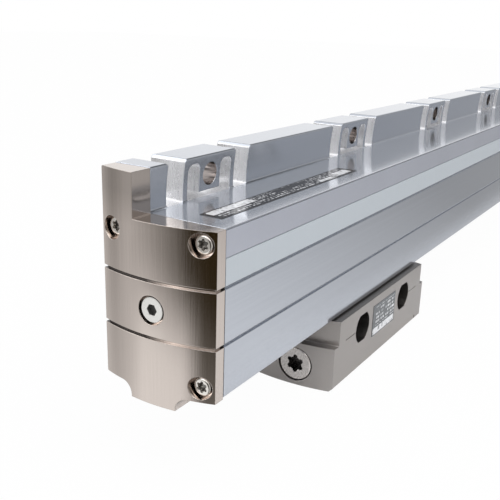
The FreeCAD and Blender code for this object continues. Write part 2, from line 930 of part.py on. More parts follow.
def contact_places():
    """The Y and Z of the contacts, one in the middle and the rest on a circle."""
    places = [(end_bore_y, end_bore_level)]
    for step in range(contact_count):
        angle = 2 * math.pi * step / contact_count
        across, rise = contact_circle * math.cos(angle), contact_circle * math.sin(angle)
        places.append((end_bore_y + across, end_bore_level + rise))
    return places


def cable_socket_contacts():
    start = socket_mouth() - socket_shell_length
    length = socket_insert_thickness + contact_length
    contacts = [rod((start,) + place, (1, 0, 0), contact_radius, length) for place in contact_places()]
    return Part.Compound(contacts)


def signal_board():
    half = board_bay_length / 2 - board_side_gap
    board = block((-half, half), (bay_front + board_side_gap, bay_back - board_side_gap),
                  (bay_top - board_thickness, bay_top))
    return board.cut([rod((x, y, bay_top), (0, 0, -1), board_screw_radius, board_thickness)
                      for x, y in board_screw_places()])


def signal_board_chips():
    level = bay_top - board_thickness
    bay_middle = (bay_front + bay_back) / 2
    chips = []
    for x, y, length, width in (
            (0, bay_middle, amplifier_side, amplifier_side),
            (0, bay_middle + driver_from_middle, driver_length, driver_width),
            (-capacitor_from_centre, bay_middle - capacitor_from_middle, capacitor_length, capacitor_width)):
        chips.append(block((x - length / 2, x + length / 2), (y - width / 2, y + width / 2),
                           (level - chip_height, level)))
    return Part.Compound(chips)


def signal_board_screws():
    level = bay_top - board_thickness
    screws = []
    for x, y in board_screw_places():
        shank = rod((x, y, level), (0, 0, 1), board_screw_radius, board_thickness + board_screw_length)
        head = rod((x, y, level), (0, 0, -1), board_screw_head_radius, board_screw_head)
        screws.append(joined([shank, head]))
    return Part.Compound(screws)


def block_cover():
    cover = block(*cover_corners(cover_gap), (block_low, cover_face))
    holes = []
    for x, y in cover_screw_places():
        holes.append(rod((x, y, block_low), (0, 0, 1), cover_screw_radius, cover_thickness))
        holes.append(countersink(x, y))
    return cover.cut(holes)


def countersink(x, y):
    """The cone of a countersunk head in the cover."""
    depth = cover_screw_head_radius - cover_screw_radius
    foot = Vector(x, y, block_low)
    return Part.makeCone(cover_screw_head_radius, cover_screw_radius, depth, foot, Vector(0, 0, 1))


def cover_screws():
    screws = []
    for x, y in cover_screw_places():
        shank = rod((x, y, block_low), (0, 0, 1), cover_screw_radius, cover_thickness + cover_screw_length)
        recess = star_recess((x, y, block_low), (0, 0, 1),
                             cover_screw_star_core, cover_screw_star_lobe, cover_screw_star_depth)
        screws.append(joined([shank, countersink(x, y)]).cut(recess))
    return Part.Compound(screws)


def coupling_blade():
    half_thick = blade_thickness / 2
    y_range = (slot_plane - half_thick, slot_plane + half_thick)
    shoulder = channel_floor + blade_shoulder_gap
    sword = Part.Wire([Part.LineSegment(start, end).toShape() for start, end in sword_sides()])
    sword.translate(Vector(0, 0, shoulder))
    web = Part.Face(sword).extrude(Vector(0, 0, cavity_floor - shoulder))
    neck_low = block((-blade_foot_length / 2, blade_foot_length / 2), y_range, (blade_foot_low, shoulder))
    neck_top = block((-blade_top_length / 2, blade_top_length / 2), y_range,
                     (cavity_floor, bridge_low - blade_top_gap))
    foot = block((-blade_foot_length / 2, blade_foot_length / 2),
                 (slot_plane - blade_foot_width / 2, slot_plane + blade_foot_width / 2),
                 (blade_foot_low, blade_foot_low + blade_foot_thickness))
    blade = joined([web, neck_low, neck_top, foot])
    holes = [coupling_pin()]
    for x, y in blade_screw_places():
        holes.append(rod((x, y, blade_foot_low), (0, 0, 1), board_screw_radius, blade_foot_thickness))
    return blade.cut(holes)


def sword_sides():
    """The sides of the blade seen from above, pointed at both ends to part the lips."""
    half_thick = blade_thickness / 2
    half = blade_length / 2
    straight = half - blade_point
    points = [
        Vector(-half, slot_plane, 0),
        Vector(-straight, slot_plane - half_thick, 0),
        Vector(straight, slot_plane - half_thick, 0),
        Vector(half, slot_plane, 0),
        Vector(straight, slot_plane + half_thick, 0),
        Vector(-straight, slot_plane + half_thick, 0),
    ]
    return list(zip(points, points[1:] + points[:1]))


def blade_screws():
    level = blade_foot_low + blade_foot_thickness
    screws = []
    for x, y in blade_screw_places():
        shank = rod((x, y, level), (0, 0, -1), board_screw_radius, blade_foot_thickness + blade_screw_length)
        head = rod((x, y, level), (0, 0, 1), board_screw_head_radius, blade_screw_head)
        screws.append(joined([shank, head]))
    return Part.Compound(screws)


def ear_reach():
    """The distance of the outer faces of the ears from the middle of the blade."""
    return blade_thickness / 2 + ear_gap + ear_thickness


def coupling_pin():
    return rod((0, slot_plane - ear_reach(), pin_level), (0, 1, 0), coupling_pin_radius, 2 * ear_reach())


# Carriage and rollers, drawn about X = 0

def face_roller_places():
    """The X and Z of the rollers on the front of the glass."""
    reach = face_roller_spacing / 2
    return [(-reach, face_roller_level), (reach, face_roller_level), (0, top_roller_level)]


def edge_roller_places():
    """The X of the rollers under the edge of the glass."""
    return mirrored_reach(edge_roller_spacing / 2)


def lamp_screw_places():
    """The X and Z of the two screws of the lamp board."""
    return [(x, optics_level) for x in mirrored_reach(lamp_board_length / 2 - lamp_screw_inset)]


def sensor_screw_places():
    """The X and Z of the two screws of the photosensor board."""
    return [(x, optics_level) for x in mirrored_reach(sensor_board_length / 2 - sensor_screw_inset)]


def carriage_frame():
    half = carriage_length / 2
    bridge = block((-half, half), (front_cheek_outer, back_cheek_outer), (bridge_low, bridge_top))
    front_plate = block((-half, half), (front_cheek_outer, front_cheek_inner), (bridge_low, front_cheek_top))
    back_plate = block((-half, half), (back_cheek_inner, back_cheek_outer), (bridge_low, back_cheek_top))
    frame = [bridge, front_plate, back_plate]
    for side in (-1, 1):
        near, away = slot_plane + side * (ear_reach() - ear_thickness), slot_plane + side * ear_reach()
        frame.append(block((-ear_length / 2, ear_length / 2), (near, away), (ear_low, bridge_low)))
    cutters = [coupling_pin(), roller_pins()]
    for x, z in face_roller_places():
        side, rise = roller_radius + window_side_gap, roller_width / 2 + window_face_gap
        cutters.append(block((x - side, x + side), (front_cheek_outer, front_cheek_inner),
                             (z - rise, z + rise)))
    cutters.append(rod((0, front_cheek_outer, optics_level), (0, 1, 0), optics_bore_radius, front_cheek))
    cutters.append(block((-reticle_length / 2, reticle_length / 2),
                         (back_cheek_inner, back_cheek_inner + reticle_seat),
                         (optics_level - reticle_height / 2, optics_level + reticle_height / 2)))
    cutters.append(block((-cell_window_length / 2, cell_window_length / 2),
                         (back_cheek_inner, back_cheek_outer),
                         (optics_level - cell_window_height / 2, optics_level + cell_window_height / 2)))
    for x, z in lamp_screw_places():
        cutters.append(rod((x, front_cheek_outer, z), (0, 1, 0), board_screw_radius, board_screw_length))
    for x, z in sensor_screw_places():
        cutters.append(rod((x, back_cheek_outer, z), (0, -1, 0), board_screw_radius, back_cheek))
    return joined(frame).cut(cutters)


def roller(centre, direction):
    """A small ball bearing drawn as one ring, with its rims rounded."""
    start = Vector(*centre) - Vector(*direction) * (roller_width / 2)
    ring = rod(start, direction, roller_radius, roller_width)
    ring = ring.makeChamfer(roller_edge, [edge for edge in ring.Edges if edge.Length > 2 * math.pi])
    return ring.cut(rod(start, direction, roller_bore, roller_width))


def roller_pins():
    pin_radius = roller_bore - pin_running_gap
    pins = []
    for x, z in face_roller_places():
        reach = roller_width / 2 + window_face_gap + pin_overlap
        pins.append(rod((x, face_roller_y, z - reach), (0, 0, 1), pin_radius, 2 * reach))
    for x in edge_roller_places():
        start, end = front_cheek_inner - pin_overlap, back_cheek_inner + pin_overlap
        pins.append(rod((x, start, edge_roller_level), (0, 1, 0), pin_radius, end - start))
    return Part.Compound(pins)


def roller_spacers():
    pin_radius = roller_bore - pin_running_gap
    sleeves = []
    roller_side = roller_width / 2 + spacer_gap
    stretches = (
        (front_cheek_inner, slot_plane - roller_side),
        (slot_plane + roller_side, back_cheek_inner),
    )
    for x in edge_roller_places():
        for start, end in stretches:
            sleeve = rod((x, start, edge_roller_level), (0, 1, 0), spacer_radius, end - start)
            sleeves.append(sleeve.cut(rod((x, start, edge_roller_level), (0, 1, 0), pin_radius, end - start)))
    return Part.Compound(sleeves)


def lamp_board():
    half = lamp_board_length / 2
    board = block((-half, half), (lamp_board_front, front_cheek_outer),
                  (optics_level - lamp_board_height / 2, optics_level + lamp_board_height / 2))
    return board.cut([rod((x, lamp_board_front, z), (0, 1, 0), board_screw_radius, board_thickness)
                      for x, z in lamp_screw_places()])


def lamp():
    straight = lamp_length - lamp_radius
    barrel = rod((0, front_cheek_outer, optics_level), (0, 1, 0), lamp_radius, straight)
    dome = Part.makeSphere(lamp_radius, Vector(0, front_cheek_outer + straight, optics_level))
    half_space = block((-lamp_radius, lamp_radius), (front_cheek_outer, front_cheek_outer + lamp_length),
                       (optics_level - lamp_radius, optics_level + lamp_radius))
    return joined([barrel, dome.common(half_space)])


def condenser_lens():
    flat = glass_front - lens_from_glass
    edge_y = flat - lens_edge
    apex = Vector(0, flat - lens_thickness, optics_level)
    rim = Vector(optics_bore_radius, edge_y, optics_level)
    rise = lens_thickness - lens_edge
    dome_radius = (optics_bore_radius ** 2 + rise ** 2) / (2 * rise)
    half_angle = math.asin(optics_bore_radius / dome_radius) / 2
    dome_centre_y = flat - lens_thickness + dome_radius
    shoulder = Vector(dome_radius * math.sin(half_angle),
                      dome_centre_y - dome_radius * math.cos(half_angle), optics_level)
    corner = Vector(optics_bore_radius, flat, optics_level)
    centre = Vector(0, flat, optics_level)
    half_section = Part.Wire([
        Part.Arc(apex, shoulder, rim).toShape(),
        Part.LineSegment(rim, corner).toShape(),
        Part.LineSegment(corner, centre).toShape(),
        Part.LineSegment(centre, apex).toShape(),
    ])
    return Part.Face(half_section).revolve(centre, Vector(0, 1, 0), 360)


def scanning_reticle():
    start = back_cheek_inner + reticle_seat
    return block((-reticle_length / 2, reticle_length / 2), (start - reticle_thickness, start),
                 (optics_level - reticle_height / 2, optics_level + reticle_height / 2))


def sensor_board():
    half = sensor_board_length / 2
    low = optics_level - sensor_board_height / 2
    board = block((-half, half), (back_cheek_outer, sensor_board_back), (low, low + sensor_board_height))
    return board.cut([rod((x, sensor_board_back, z), (0, -1, 0), board_screw_radius, board_thickness)
                      for x, z in sensor_screw_places()])


def photo_cells():
    pitch = cell_window_length / cell_count
    cells = []
    for index in range(cell_count):
        x = (index - (cell_count - 1) / 2) * pitch
        cells.append(block((x - cell_length / 2, x + cell_length / 2),
                           (back_cheek_outer - cell_thickness, back_cheek_outer),
                           (optics_level - cell_height / 2, optics_level + cell_height / 2)))
    return Part.Compound(cells)


def sensor_board_chips():
    level = sensor_board_back
    chips = []
    half = sensor_chip_side / 2
    centre = optics_level + sensor_chip_rise
    for x in mirrored_reach(sensor_board_length / 4):
        chips.append(block((x - half, x + half), (level, level + chip_height),
                           (centre - half, centre + half)))
    return Part.Compound(chips)


def carriage_screws():
    screws = []
    for x, z in lamp_screw_places():
        shank = rod((x, lamp_board_front, z), (0, 1, 0), board_screw_radius,
                    board_thickness + board_screw_length)
        head = rod((x, lamp_board_front, z), (0, -1, 0), board_screw_head_radius, board_screw_head)
        screws.append(joined([shank, head]))
    for x, z in sensor_screw_places():
        shank = rod((x, sensor_board_back, z), (0, -1, 0), board_screw_radius, board_thickness + back_cheek)
        head = rod((x, sensor_board_back, z), (0, 1, 0), board_screw_head_radius, board_screw_head)
        screws.append(joined([shank, head]))
    return Part.Compound(screws)


def flat_lead():
    board_low = optics_level - sensor_board_height / 2
    outer = sensor_board_back + lead_thickness
    ear_face = slot_plane + ear_reach()
    level = bridge_low - lead_below_bridge
    corners = [
        (sensor_board_back, board_low + lead_overlap, 0),
        (outer, board_low + lead_overlap, 0),
        (outer, level, lead_bend + lead_thickness),
        (ear_face, level, 0),
        (ear_face, level + lead_thickness, 0),
        (sensor_board_back, level + lead_thickness, lead_bend),
    ]
    return along_x(corners, -lead_width / 2, lead_width / 2)


def build_parts():
    """Every node's name and its shape."""
    near_cap, near_gasket, near_screws, near_plug, near_washer = (
        end_cap(), cap_gasket(), cap_screws(), air_port_plug(), air_port_washer())
    parts = {
        "housing_profile": housing_profile(),
        "front_inlay_strip": front_inlay_strip(),
        "name_label": name_label(),
        "sealing_lip_front": sealing_lip(-1),
        "sealing_lip_back": sealing_lip(1),
        "glass_scale": glass_scale(),
        "graduation_tracks": graduation_tracks(),
        "scale_bond": scale_bond(),
        "end_cap_near": near_cap,
        "end_cap_far": mirrored(near_cap),
        "cap_gasket_near": near_gasket,
        "cap_gasket_far": mirrored(near_gasket),
        "cap_screws_near": near_screws,
        "cap_screws_far": mirrored(near_screws),
        "air_port_plug_near": near_plug,
        "air_port_plug_far": mirrored(near_plug),
        "air_port_washers": Part.Compound([near_washer, mirrored(near_washer)]),
    }
    head_parts = {
        "mounting_block": mounting_block(),
        "data_plate": data_plate(),
        "block_end_plug": block_end_plug(),
        "plug_seal": plug_seal(),
        "cable_socket_shell": cable_socket_shell(),
        "cable_socket_insert": cable_socket_insert(),
        "cable_socket_contacts": cable_socket_contacts(),
        "signal_board": signal_board(),
        "signal_board_chips": signal_board_chips(),
        "signal_board_screws": signal_board_screws(),
        "block_cover": block_cover(),
        "cover_screws": cover_screws(),
        "coupling_blade": coupling_blade(),
        "blade_screws": blade_screws(),
        "coupling_pin": coupling_pin(),
        "carriage_frame": carriage_frame(),
        "roller_pins": roller_pins(),
        "roller_spacers": roller_spacers(),
        "lamp_board": lamp_board(),
        "lamp": lamp(),
        "condenser_lens": condenser_lens(),
        "scanning_reticle": scanning_reticle(),
        "sensor_board": sensor_board(),
        "photo_cells": photo_cells(),
        "sensor_board_chips": sensor_board_chips(),
        "carriage_screws": carriage_screws(),
        "flat_lead": flat_lead(),
    }
    for name, (x, z) in zip(("near", "far", "top"), face_roller_places()):
        head_parts["face_roller_" + name] = roller((x, face_roller_y, z), (0, 0, 1))
    for name, x in zip(("near", "far"), edge_roller_places()):
        head_parts["edge_roller_" + name] = roller((x, slot_plane, edge_roller_level), (0, 1, 0))
    for name, shape in head_parts.items():
        parts[name] = in_head(shape)
    return parts


def main():
    os.makedirs("parts", exist_ok=True)
    for name, shape in build_parts().items():
        shape.exportStep("parts/" + name + ".step")


main()
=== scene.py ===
"""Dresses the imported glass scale: the pieces that show are remodelled and every surface gets its finish."""

import math

import bmesh
import bpy
from bpy.props import FloatProperty, FloatVectorProperty, PointerProperty
from mathutils import Matrix, Vector


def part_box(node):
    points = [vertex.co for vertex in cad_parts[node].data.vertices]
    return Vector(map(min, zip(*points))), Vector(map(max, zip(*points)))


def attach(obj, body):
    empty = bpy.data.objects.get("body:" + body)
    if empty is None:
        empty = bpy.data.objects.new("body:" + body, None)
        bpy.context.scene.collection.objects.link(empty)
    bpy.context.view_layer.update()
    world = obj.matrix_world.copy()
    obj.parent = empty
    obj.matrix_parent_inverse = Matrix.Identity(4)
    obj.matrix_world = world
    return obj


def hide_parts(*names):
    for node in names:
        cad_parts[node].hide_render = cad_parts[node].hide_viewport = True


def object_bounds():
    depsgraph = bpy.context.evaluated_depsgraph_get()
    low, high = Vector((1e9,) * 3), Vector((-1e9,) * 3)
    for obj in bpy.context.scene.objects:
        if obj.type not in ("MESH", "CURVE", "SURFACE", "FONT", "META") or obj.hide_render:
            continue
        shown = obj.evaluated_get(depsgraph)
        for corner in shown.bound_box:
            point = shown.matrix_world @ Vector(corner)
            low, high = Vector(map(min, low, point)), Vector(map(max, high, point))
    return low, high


bl_info = {
    "name": "Sealed glass scale",
    "version": (1, 0, 0),
    "blender": (4, 5, 0),
    "location": "3D View > Sidebar > Glass scale",
    "description": "Models and finishes the caps, screws, plugs and scanning head of a sealed glass scale",
    "category": "Object",
}

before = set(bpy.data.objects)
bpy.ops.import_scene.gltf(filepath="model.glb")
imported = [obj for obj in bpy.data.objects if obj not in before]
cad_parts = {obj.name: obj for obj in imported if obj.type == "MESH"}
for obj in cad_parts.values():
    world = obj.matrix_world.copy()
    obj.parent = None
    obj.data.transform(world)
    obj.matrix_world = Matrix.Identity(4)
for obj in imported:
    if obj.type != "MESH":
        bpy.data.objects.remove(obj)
CAD_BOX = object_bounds()
MM = 0.001

# Places on the housing, at the sizes of the CAD pieces
SPAR_FRONT = -12.5 * MM
SPAR_LEAN = 0.08
TOP_ROUNDING = 0.5 * MM
LUG_PITCH = 100 * MM
BOLT_HOLE = 3.5 * MM
BAND_FACE = -36.5 * MM
BAND_TOP = -14.25 * MM
BAND_FOOT = -21.9 * MM
RAIL_FRONT = -25.9 * MM
RAIL_BACK = -10.9 * MM
SLOT_PLANE = -18.4 * MM

# Places and details of the end caps
GROOVE_LEVELS = (-38.5 * MM, -22.3 * MM)
SCREW_PLACES = ((-4.1 * MM, -10.4 * MM), (-32.9 * MM, -10.4 * MM), (-32.9 * MM, -50.1 * MM))
FOOT_HEIGHT = 4.1 * MM
SCALLOP = 3.6 * MM
BACK_TOP_ROUNDING = 1.3 * MM
PORT_LEVEL = -30.5 * MM
PORT_NECK = 2.5 * MM
PORT_CLEARANCE = 0.5 * MM

# Places and details of the scanning head
BORE_Y = -25.4 * MM
BORE_Z = -71.9 * MM
BORE_REACH = 45.43 * MM
BORE_LENGTH = 32 * MM
CHANNEL_MARGIN = 4.7 * MM
CHANNEL_DEPTH = 4.3 * MM
INDEX_GAP = 0.4 * MM
INDEX_LENGTH = 8 * MM
INDEX_HALF_HEIGHT = 0.15 * MM
INDEX_DEPTH = 0.2 * MM
NOTCH_PLACE = 36 * MM
NOTCH_WIDTH = 0.9 * MM
NOTCH_HEIGHT = 2.6 * MM
COVER_GAP = 0.15 * MM

# How tools are made: how long a drill is, how far a tool goes past a piece or stands out of a face, how deep
# joined parts sink in, and how near to a plane an edge counts as lying in it
DRILL = 20 * MM
PAST = 10 * MM
PROUD = 1 * MM
SINK = 0.1 * MM
TOUCH = 0.01 * MM

# Half the length of the block's stock and of the tools that run along it, and the sides of the wide cylinders
# that bow the cap and the block
BLOCK_STOCK = 60 * MM
BLOCK_TOOL = 80 * MM
CAP_BOW_SIDES = 540
BLOCK_BOW_SIDES = 720

# How squarely a surface has to face along an axis for a finish to count it as facing that way
FACING = 0.8
SQUARE_ON = 0.9


# Sizes and colours

def length(name, text, value):
    """A size given in millimetres and kept in metres."""
    return FloatProperty(name=name, description=text, default=value * MM, unit="LENGTH", precision=5)


def colour(name, text, value):
    return FloatVectorProperty(name=name, description=text, default=value, size=3, subtype="COLOR", min=0, max=1)


def share(name, text, value):
    return FloatProperty(name=name, description=text, default=value, min=0, max=1, subtype="FACTOR")


def turn(name, text, value):
    return FloatProperty(name=name, description=text, default=value, unit="ROTATION")


class CapSizes(bpy.types.PropertyGroup):
    thick_back: length("Back thickness", "How thick the cap is at the machine face", 5.3)
    thick_middle: length("Middle thickness", "How thick the cap is in the middle of its bow", 7.76)
    thick_front: length("Front thickness", "How thick the cap is at the front", 3.9)
    groove_width: length("Groove width", "Height of the two grooves that run round the cap", 0.9)
    groove_depth: length("Groove depth", "Depth of the two grooves", 0.8)
    edge: length("Edge rounding", "Rounding of the cap's outer edges", 0.35)
    lip: length("Groove lip", "Rounding of the lips of the grooves", 0.12)
    counterbore: length("Counterbore radius", "Radius of the pockets of the cap screws", 3.35)
    counterbore_seat: length("Seat depth", "Distance of the screw seats from the inner face", 2.1)
    port: length("Port radius", "Radius of the pocket of the air-port plug", 4.2)
    tone: colour("Nickel", "Colour of the cap's nickel", (0.66, 0.59, 0.545))
    gloss: share("Roughness", "Roughness of the brushed nickel", 0.13)


class ScrewSizes(bpy.types.PropertyGroup):
    head: length("Head radius", "Radius of the cap screws' heads", 2.75)
    head_height: length("Head height", "Height of the cap screws' heads", 2.0)
    head_rounding: length("Head rounding", "Rounding of the head's rim", 0.7)
    shank: length("Shank radius", "Radius of the shank", 1.5)
    star: length("Star radius", "Radius of the core of the driver recess", 1.25)
    star_lobe: length("Star lobe", "Radius of the six lobes", 0.45)
    star_depth: length("Star depth", "Depth of the driver recess", 1.2)
    tone: colour("Plating", "Colour of the screws' plating", (0.78, 0.75, 0.71))


class PlugSizes(bpy.types.PropertyGroup):
    head: length("Head radius", "Radius of the air-port plug", 3.6)
    head_height: length("Head height", "Height of the plug's head", 2.0)
    recess: length("Set back", "How far the plug lies behind the bow of the cap", 0.35)
    hexagon: length("Hexagon", "Width across the flats of the socket", 3.0)
    hexagon_depth: length("Hexagon depth", "Depth of the socket", 1.5)
    rounding: length("Rim rounding", "Rounding of the plug's rim", 0.3)
    tone: colour("Plug colour", "Colour of the pale plug", (0.83, 0.82, 0.79))


class HeadSizes(bpy.types.PropertyGroup):
    lower_length: length("Lower length", "Length of the block below its shoulders, without the bow", 86.0)
    shoulder: length("Shoulder", "How far the block steps in above its shoulders", 3.4)
    shoulder_drop: length("Shoulder drop", "Height of the stepped-in part", 9.0)
    bow: length("Bow", "How far the ends of the block bow outwards", 2.6)
    root: length("Root rounding", "Rounding where the shoulders meet the upper part", 3.0)
    chamfer: length("Chamfer", "Chamfer along the lower edges", 1.2)
    edge: length("Edge rounding", "Rounding of the block's edges", 0.4)
    pocket: length("Pocket radius", "Radius of the bolt pockets", 5.95)
    pocket_rise: length("Pocket flat", "Distance of the pockets' flats from their middle", 5.3)
    pocket_depth: length("Pocket depth", "Depth of the bolt pockets", 7.6)
    bolt_hole: length("Bolt hole radius", "Radius of the holes behind the pockets", 3.3)
    bolt_pitch: length("Bolt pitch", "Distance between the two bolt holes", 40.0)
    bolt_drop: length("Bolt drop", "Distance of the bolt holes below the block's top", 8.6)
    tone: colour("Nickel", "Colour of the head's nickel", (0.44, 0.415, 0.40))
    gloss: share("Roughness", "Roughness of the head's nickel", 0.34)


class EndPlugSizes(bpy.types.PropertyGroup):
    bore: length("Bore radius", "Radius of the bore in the block's end", 6.45)
    plug: length("Plug radius", "Radius of the plug", 6.1)
    plug_length: length("Plug length", "Length of the plug's thick part", 9.0)
    nose: length("Nose length", "Length of the part that carries the seal", 3.1)
    nose_radius: length("Nose radius", "Radius of the part that carries the seal", 4.6)
    rounding: length("Rim rounding", "Rounding of the plug's rim", 0.45)
    star: length("Star radius", "Radius of the core of the driver recess", 2.5)
    star_lobe: length("Star lobe", "Radius of the six lobes", 0.85)
    star_depth: length("Star depth", "Depth of the driver recess", 3.6)


class HousingColours(bpy.types.PropertyGroup):
    anodised: colour("Anodised", "Colour of the anodised housing", (0.57, 0.60, 0.66))
    band: colour("Band", "Colour of the pale band under the strip", (0.60, 0.65, 0.70))
    milled: colour("Milled", "Colour of the milled walls of the lugs", (0.87, 0.87, 0.885))
    bored: colour("Bored", "Colour of the walls of the bolt holes", (0.61, 0.58, 0.57))
    inlay: colour("Inlay strip", "Colour of the strip in the front", (0.50, 0.52, 0.59))
    ink: colour("Label ink", "Colour of the label's dark fields", (0.012, 0.012, 0.015))
    plate_ink: colour("Plate ink", "Colour of the data plate's dark fields", (0.10, 0.11, 0.12))
    paper: colour("Label ground", "Colour of the label's pale fields", (0.86, 0.87, 0.90))


class StageSettings(bpy.types.PropertyGroup):
    floor: colour("Floor", "Colour of the floor", (0.93, 0.93, 0.93))
    white: share("White floor", "How much of the floor is plain white to the eye", 0.97)
    key: FloatProperty(name="Key light", description="Power of the large light above", default=2.6, unit="POWER")
    world: FloatProperty(name="World", description="Strength of the surroundings", default=0.75)
    screen: FloatProperty(name="Screen", description="Strength of the screen above, in reflections", default=1.9)
    card: colour("Card", "Colour of the dark card beside the camera", (0.030, 0.020, 0.006))
    camera_place: FloatVectorProperty(name="Camera", description="Where the camera stands", size=3,
                                      default=(-0.37364, -0.13555, 0.04376), subtype="TRANSLATION", unit="LENGTH")
    camera_heading: turn("Heading", "Turn of the view from +X towards +Y", 0.56043)
    camera_tilt: turn("Tilt", "Tilt of the view, downwards when negative", -0.30598)
    camera_roll: turn("Roll", "Roll of the camera about its view", 0.03023)
    camera_lens: FloatProperty(name="Lens", description="Focal length", default=52.532, unit="CAMERA")


# Modelling by hand: primitives, edit mode and modifiers

def only(piece):
    """Selects one piece and nothing else."""
    bpy.ops.object.select_all(action="DESELECT")
    piece.select_set(True)
    bpy.context.view_layer.objects.active = piece


def edit_all(piece):
    """Opens one piece in edit mode with all of it selected."""
    only(piece)
    bpy.ops.object.mode_set(mode="EDIT")
    bpy.ops.mesh.select_all(action="SELECT")


def settle(piece):
    """Writes the piece's place, turn and size into its mesh."""
    only(piece)
    bpy.ops.object.transform_apply(location=True, rotation=True, scale=True)
    return piece


def box(name, low, high):
    """A box between two corners, in metres."""
    bpy.ops.object.select_all(action="DESELECT")
    centre = [(a + b) / 2 for a, b in zip(low, high)]
    bpy.ops.mesh.primitive_cube_add(size=1, location=centre)
    piece = bpy.context.object
    piece.name = name
    piece.scale = [abs(b - a) for a, b in zip(low, high)]
    return settle(piece)


TURNS = {"X": (0, math.pi / 2, 0), "Y": (math.pi / 2, 0, 0), "Z": (0, 0, 0)}


def rod(name, centre, axis, radius, long, sides=64):
    """A cylinder about a point, along one axis."""
    bpy.ops.object.select_all(action="DESELECT")
    bpy.ops.mesh.primitive_cylinder_add(vertices=sides, radius=radius, depth=long, location=centre,
                                        rotation=TURNS[axis])
    piece = bpy.context.object
    piece.name = name
    return settle(piece)


def combine(piece, tool, operation="DIFFERENCE"):
    """Cuts a tool out of a piece, joins it on, or keeps what both share; the tool is used up."""
    only(piece)
    step = piece.modifiers.new("combine", "BOOLEAN")
    step.operation = operation
    step.object = tool
    step.solver = "EXACT"
    bpy.ops.object.modifier_apply(modifier=step.name)
    bpy.data.objects.remove(tool)
    return piece


def bevel_where(piece, test, width, segments=3, least=0.5):
    """Bevels the edges whose faces meet at more than the least angle and whose middle passes a test."""
    only(piece)
    bpy.ops.object.mode_set(mode="EDIT")
    bpy.ops.mesh.select_mode(type="EDGE")
    bpy.ops.mesh.select_all(action="DESELECT")
    mesh = bmesh.from_edit_mesh(piece.data)
    for edge in mesh.edges:
        is_sharp = len(edge.link_faces) == 2 and edge.calc_face_angle(0) > least
        if is_sharp and test((edge.verts[0].co + edge.verts[1].co) / 2):
            edge.select = True
    mesh.select_flush_mode()
    bmesh.update_edit_mesh(piece.data)
    bpy.ops.mesh.bevel(offset=width, segments=segments, affect="EDGES", clamp_overlap=True)
    bpy.ops.object.mode_set(mode="OBJECT")
    return piece


def near_end(x):
    """A test for the edges at the near end of a piece, which lies at x."""
    return lambda middle: middle.x < x + TOUCH


def split_at(piece, level):
    """Gives a piece a ring of edges at one height, so that no long face carries a corner of the next cut."""
    edit_all(piece)
    bpy.ops.mesh.bisect(plane_co=(0, 0, level), plane_no=(0, 0, 1))
    bpy.ops.object.mode_set(mode="OBJECT")
    return piece


def close_doubles(piece):
    """Merges points that lie on each other, and turns the faces outwards."""
    edit_all(piece)
    bpy.ops.mesh.remove_doubles(threshold=1e-6)
    bpy.ops.mesh.normals_make_consistent(inside=False)
    bpy.ops.object.mode_set(mode="OBJECT")
    return piece


def smooth(piece, degrees=32):
    """Smooth shading that keeps the flat faces flat beside their bevels."""
    only(piece)
    bpy.ops.object.shade_smooth_by_angle(angle=math.radians(degrees))
    step = piece.modifiers.new("flat_faces", "WEIGHTED_NORMAL")
    step.keep_sharp = True
    step.weight = 50
    bpy.ops.object.modifier_apply(modifier=step.name)
    return piece


def copy_of(piece, name, move=(0, 0, 0), mirror=False):
    """A copy with its own mesh, moved or mirrored to the far end."""
    other = piece.copy()
    other.data = piece.data.copy()
    other.name = name
    bpy.context.scene.collection.objects.link(other)
    other.location = move
    if mirror:
        other.scale = (-1, 1, 1)
    settle(other)
    return close_doubles(other) if mirror else other


def far_copy(piece, name):
    """The piece's mirror image at the far end, smoothly shaded like the piece."""
    return smooth(copy_of(piece, name, mirror=True))


def merge(pieces, name):
    """Several pieces as one object."""
    only(pieces[0])
    for piece in pieces[1:]:
        piece.select_set(True)
    bpy.ops.object.join()
    pieces[0].name = name
    return pieces[0]


def star_tool(centre, core, lobe, depth):
    """A six-lobed driver bit that lies along X."""
    tool = rod("star", centre, "X", core, depth, sides=48)
    for step in range(6):
        angle = math.radians(60 * step + 30)
        across, rise = core * math.cos(angle), core * math.sin(angle)
        place = (centre[0], centre[1] + across, centre[2] + rise)
        combine(tool, rod("lobe", place, "X", lobe, depth, sides=24), "UNION")
    return tool


def corner_bar(name, corner, half_length, size):
    """A square bar on edge along X, whose cut leaves a chamfer of the given size at a corner."""
    x, y, z = corner
    bar = box(name, (x - half_length, y - size, z - size), (x + half_length, y + size, z + size))
    edit_all(bar)
    bpy.ops.transform.rotate(value=math.radians(45), orient_axis="X", center_override=corner)
    bpy.ops.transform.resize(value=(1, 1 / math.sqrt(2), 1 / math.sqrt(2)), center_override=corner)
    bpy.ops.object.mode_set(mode="OBJECT")
    return bar


def circle_through(points):
    """The centre and radius of the circle through three points."""
    (ax, ay), (bx, by), (cx, cy) = points
    a, b = Vector((bx - ax, by - ay)), Vector((cx - ax, cy - ay))
    cross = 2 * (a.x * b.y - a.y * b.x)
    x = (b.y * a.length_squared - a.y * b.length_squared) / cross
    y = (a.x * b.length_squared - b.x * a.length_squared) / cross
    return ax + x, ay + y, math.hypot(x, y)


# Finishes

